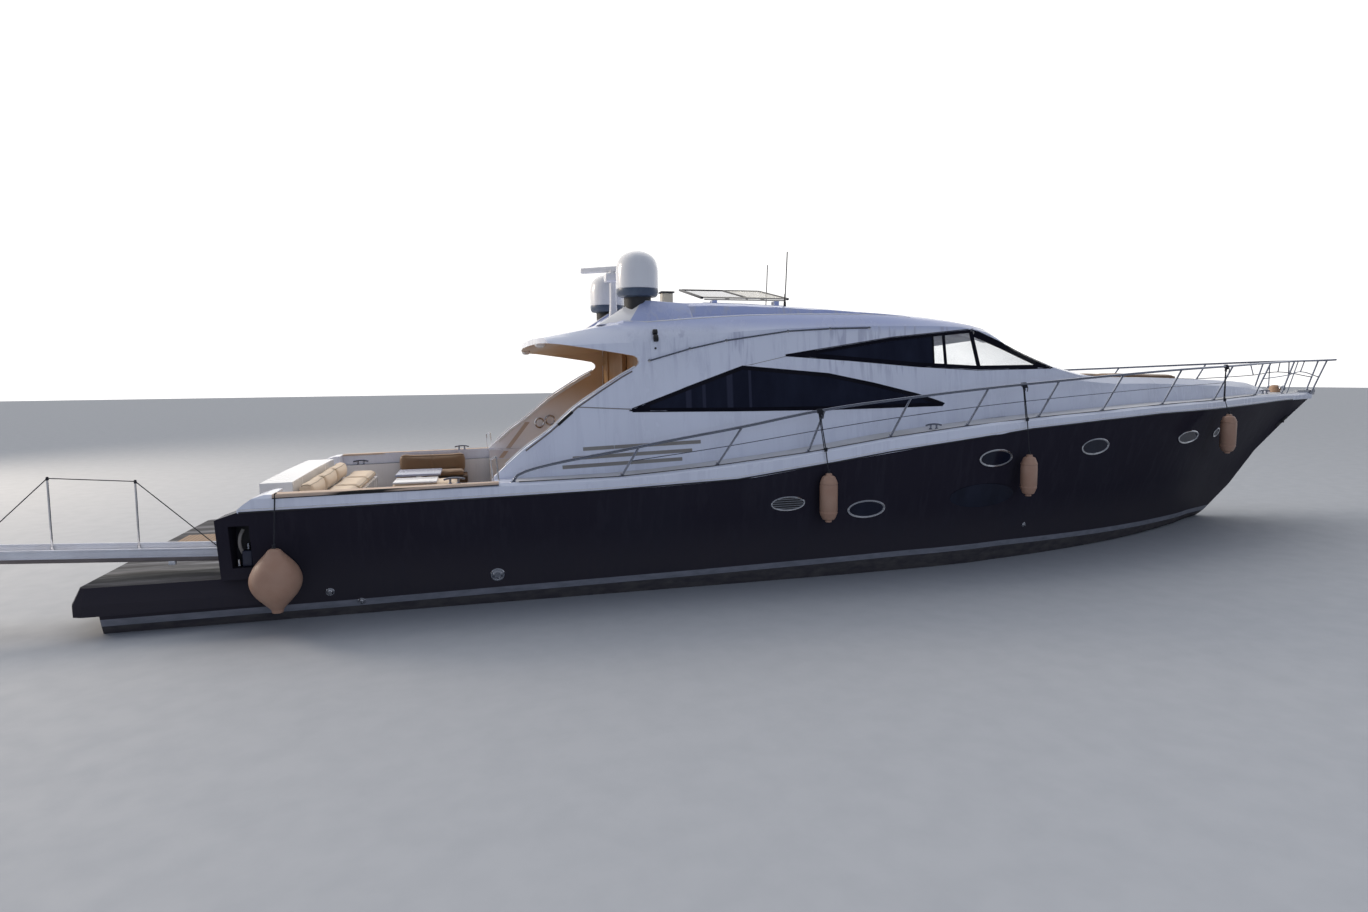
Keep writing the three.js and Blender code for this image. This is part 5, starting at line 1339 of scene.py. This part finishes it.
def build_cockpit():
    dress("aft_bench", WHITE_PLAIN)
    piece("port_settee_base", block((3.26, 1.751, 0.9506), (4.49, 2.439, 1.24), 0.02), JOINERY, "port_settee")
    for number, (y0, y1) in enumerate(shares(-1.48, 1.48, 3)):
        stuffed(f"bench_seat_{number}", (2.56, y0, 1.331), (3.01, y1, 1.44), CREAM, "aft_bench_cushion", PIPING)
        stuffed(f"bench_back_{number}", (2.33, y0, 1.331), (2.54, y1, 1.62), CREAM, "aft_bench_back", PIPING,
                corner=0.085)
    for number, (x0, x1) in enumerate(shares(3.27, 4.48, 2)):
        stuffed(f"settee_seat_{number}", (x0, 1.74, 1.241), (x1, 2.19, 1.34), TAN, "port_settee_cushion", TAN_PIPING)
    stuffed("settee_back", (3.27, 2.2, 1.241), (4.48, 2.42, 1.64), TAN, "port_settee_back", TAN_PIPING, corner=0.1,
            seams=((0, 3.875),))
    piece("ottoman_box", block((3.36, -0.14, 0.9506), (4.39, 0.55, 1.27), 0.02), WHITE_PLAIN, "cockpit_ottoman")
    stuffed("ottoman_pad", (3.35, -0.15, 1.271), (4.4, 0.56, 1.37), CREAM, "cockpit_ottoman", PIPING,
            seams=((0, 3.875),))
    piece("ottoman_tray", block((3.4, -0.1, 1.368), (4.06, 0.5, 1.4), 0.012), WHITE_PLAIN, "cockpit_ottoman")
    piece("table_top", block((3.36, 0.72, 1.387), (4.08, 1.52, 1.425), 0.014), TABLE_TOP_SHADED, "cockpit_table")
    leg = [(0, 0.435), (0.14, 0.435), (0.14, 0.425), (0.06, 0.41), (0.055, 0.05), (0.09, 0.025), (0.17, 0.018),
           (0.18, 0.0), (0, 0)]
    piece("table_leg", lathe(leg, (3.72, 1.1, 0.9505)), STEEL, "cockpit_table")
    for number, (x0, x1, top) in enumerate(((6.45, 6.76, 1.16), (6.75, 7.0497, 1.38))):
        riser = block((x0 + 0.01, -0.99, 0.9505), (x1 - 0.001, 0.09, top - 0.03), 0.012)
        piece(f"step_riser_{number}", riser, WHITE_PLAIN, "saloon_steps")
        piece(f"step_tread_{number}", block((x0, -1.0, top - 0.03), (x1, 0.1, top), 0.008), TEAK, "saloon_steps")


def build_saloon():
    console = block((12.1, -1.85, 1.6006), (12.85, -0.35, 2.45), 0.03)
    piece("console_body", console, JOINERY, "helm_console")
    dash = side_plate([(12.1, 2.44), (12.85, 2.44), (12.85, 2.78), (12.35, 2.7)], -1.8, -0.4, 0.012)
    piece("console_dash", dash, BLACK, "helm_console")
    tilt = Matrix.Translation((12.225, 0, 2.57)) @ Matrix.Rotation(-math.atan2(0.26, 0.25), 4, "Y")
    screens = [block((-0.13, y - 0.17, 0.003), (0.13, y + 0.17, 0.012), 0.003, 1) for y in (-1.55, -0.75)]
    piece("console_screens", moved(gather(*screens), tilt), DARK_GLASS)
    rim = [(0.19 * u, 0.19 * v, 0) for u, v in circle(48)]
    spokes = [pipe([(0, 0, 0.03), (0.185 * math.cos(turn), 0.185 * math.sin(turn), 0)], 0.009, 8)
              for turn in (0.5, 2.6, 4.7)]
    hub = lathe([(0, 0.045), (0.03, 0.04), (0.04, 0.0), (0.03, -0.12), (0, -0.12)], steps=24)
    wheel = gather(pipe(rim, 0.015, closed=True), *spokes, hub)
    lean = Matrix.Translation((12.08, -1.1, 2.5)) @ Matrix.Rotation(math.pi / 2 - 0.45, 4, "Y")
    piece("helm_wheel", moved(wheel, lean), STEEL, "helm_console")
    leg = [(0, 0.44), (0.07, 0.44), (0.06, 0.05), (0.14, 0.015), (0.15, 0.0), (0, 0)]
    piece("helm_seat_leg", lathe(leg, (11.35, -1.1, 1.6006), steps=36), STEEL, "helm_seat")
    stuffed("helm_seat_pad", (11.05, -1.4, 2.04), (11.6, -0.8, 2.18), CREAM, "helm_seat", PIPING)
    stuffed("helm_seat_back", (11.0, -1.38, 2.06), (11.14, -0.82, 2.85), CREAM, "helm_seat")
    sofa = block((8.0, 1.26, 1.6006), (10.6, 2.05, 1.88), 0.015)
    piece("sofa_base", sofa, JOINERY, "saloon_sofa")
    for number, (x0, x1) in enumerate(shares(8.0, 10.6, 3)):
        stuffed(f"sofa_seat_{number}", (x0, 1.25, 1.881), (x1, 1.84, 2.02), CREAM, "saloon_sofa", voxel=0.03)
        stuffed(f"sofa_back_{number}", (x0, 1.85, 1.881), (x1, 2.05, 2.4), CREAM, "saloon_sofa", voxel=0.03,
                corner=0.08)
    piece("saloon_cabinet_skin", block((8.0, -2.05, 1.6006), (10.4, -1.5, 2.42), 0.012), JOINERY, "saloon_cabinet")


# Curtains just inside the fixed pane, pleated: where they start and how deep their pleats are
CURTAIN_START, PLEAT_DEPTH = (7.215, 0.145, 1.7), 0.022


def build_curtain():
    width, drop, pleats = 1.35, 1.72, 15
    x, y, z = CURTAIN_START
    low = []
    for i in range(pleats * 8 + 1):
        share = i / (pleats * 8)
        low.append(Vector((x + PLEAT_DEPTH * math.sin(2 * math.pi * pleats * share), y + width * share, z)))
    pairs = [(point, point + Vector((0, 0, drop))) for point in low]
    curtain = piece("saloon_curtain", ribbon(pairs, 0.002), CURTAIN, angle=80)


build_cockpit()
build_saloon()
build_curtain()

# ---- Foredeck ----
# The sunpad's ends and the deck hatch's middle along X
SUNPAD, HATCH = (15.95, 17.6), 18.45
# Cleats: x, and how far inside the deck's edge
CLEATS = ((20.3, 0.2), (11.3, 0.2), (2.6, 0.16), (4.4, 0.2))
CLEAT_FOOT = [(0, 0.065), (0.015, 0.065), (0.013, 0.02), (0.03, 0.0), (0, 0)]
WINDLASS = [(0, -0.17), (0.05, -0.17), (0.06, -0.15), (0.04, -0.12), (0.04, -0.1), (0.058, -0.07), (0.058, 0.07),
            (0.04, 0.1), (0.04, 0.12), (0.06, 0.15), (0.05, 0.17), (0, 0.17)]


def trunk_top(x):
    return deck_point(x, 0).z


def build_cleats(side, sign):
    for x, inset in CLEATS:
        place = deck_point(x, sign * (between(DECK_EDGE, x)[0] - inset))
        if place is None:
            continue
        bar = [place + Vector((dx, 0, dz)) for dx, dz in ((-0.13, 0.055), (-0.06, 0.07), (0.06, 0.07), (0.13, 0.055))]
        feet = [lathe(CLEAT_FOOT, place + Vector((dx, 0, 0)), steps=20) for dx in (-0.05, 0.05)]
        piece(f"cleat_{side}_{int(x * 10)}", gather(pipe(bar, 0.013, smooth=True), *feet), DARKENED_STEEL)


def build_foredeck():
    x0, x1 = SUNPAD
    tilt = math.atan2(trunk_top(x1) - trunk_top(x0 + 0.3), x1 - x0 - 0.3)
    turn = Matrix.Translation((x0, 0, trunk_top(x0 + 0.4) - 0.07)) @ Matrix.Rotation(-tilt, 4, "Y")
    for number, (y0, y1, start, end) in enumerate((
            (-1.0, -0.34, 0.08, 0.13), (-0.33, 0.33, 0.0, 0.0), (0.34, 1.0, 0.08, 0.13))):
        stuffed(f"sunpad_{number}", (start, y0, 0.0), (x1 - x0 - end, y1, 0.13), TAN, "foredeck_sunpad", TAN_PIPING,
                voxel=0.03, turn=turn, corner=0.045, seams=((0, 0.95),))
    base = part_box("windlass")[0][2]
    case = [(0, 0.16), (0.05, 0.155), (0.085, 0.13), (0.1, 0.08), (0.105, 0.0), (0, 0)]
    piece("windlass_case", lathe(case, (21.06, 0, base), steps=36), WINDLASS_CASE, "windlass")
    piece("windlass_skin", lathe(WINDLASS, (21.1, 0, base + 0.09), ACROSS, 36), STEEL, "windlass")
    dress("bow_roller", STEEL)
    both(build_cleats)
    slope = math.atan2(trunk_top(HATCH + 0.25) - trunk_top(HATCH - 0.25), 0.5)
    seat = Matrix.Translation((HATCH, 0, trunk_top(HATCH))) @ Matrix.Rotation(-slope, 4, "Y")
    for name, half, low, high, material in (
            ("frame", 0.25, -0.03, 0.008, STEEL), ("pane", 0.22, 0.0, 0.012, DARK_GLASS)):
        lid = block((-half, -half, low), (half, half, high), 0.004)
        piece(f"deck_hatch_{name}", moved(lid, seat), material)
    outline = [(21.1, 1.8), (21.19, 1.83), (21.42, 1.985), (21.44, 2.03), (21.38, 2.02), (21.12, 1.86)]
    pin = lathe([(0, -0.075), (0.022, -0.075), (0.022, 0.075), (0, 0.075)], (21.27, 0, 1.91), ACROSS, 20)
    piece("stem_fitting", gather(side_plate(outline, -0.05, 0.05, 0.012), pin), BLACK)


build_foredeck()


# ---- Running gear, under the floor of the picture ----
@both
def running_gear(side, sign):
    for name in ("shaft_bracket", "propeller", "rudder"):
        dress(f"{name}_{side}", BRONZE, 45)


dress("saloon_door", SMOKED)


# ---- Stage ----
# Lamps: name, place, aim, size, power, colour
LAMPS = (("key", (-18, 14, 13), (7, 0, 2), 7, 4200, (1.0, 0.86, 0.7)),
         ("top", (9, 11, 22), (10, 0, 2), 14, 1000, (1.0, 0.96, 0.93)),
         ("front", (9, -26, 3.5), (10, 0, 2), 16, 1150, (0.66, 0.76, 1.0)),
         ("fill", (10, -22, 14), (11, 0, 2), 14, 200, (0.8, 0.87, 1.0)))


def build_stage():
    floor = bmesh.new()
    bmesh.ops.create_grid(floor, x_segments=1, y_segments=1, size=150)
    ground = linked("floor", mesh_of("floor", floor))
    ground.data.materials.append(FLOOR)
    world = bpy.data.worlds.new("soft_studio")
    world.use_nodes = True
    sky = Graph(world.node_tree)
    across = sky.split(sky.add("TexCoord").outputs["Generated"])[1]
    backdrop = world.node_tree.nodes["Background"].inputs
    tint = sky.mix(sky.span(across, -0.5, 0.6, smooth=True), (0.72, 0.8, 1.0), (1.0, 0.99, 0.98))
    sky.put(backdrop["Color"], tint)
    sky.put(backdrop["Strength"], sky.span(across, -0.5, 0.55, 0.2, 1.2, True))
    bpy.context.scene.world = world
    bpy.context.scene.view_settings.view_transform = "Standard"
    for name, place, aim, size, power, colour in LAMPS:
        lamp = bpy.data.lights.new(name, "AREA")
        lamp.size, lamp.energy, lamp.color = size, power, colour
        light = linked(name, lamp)
        light.visible_glossy = name == "key"
        turn = (Vector(place) - Vector(aim)).to_track_quat("Z", "Y").to_matrix().to_4x4()
        light.matrix_world = Matrix.Translation(place) @ turn


build_stage()
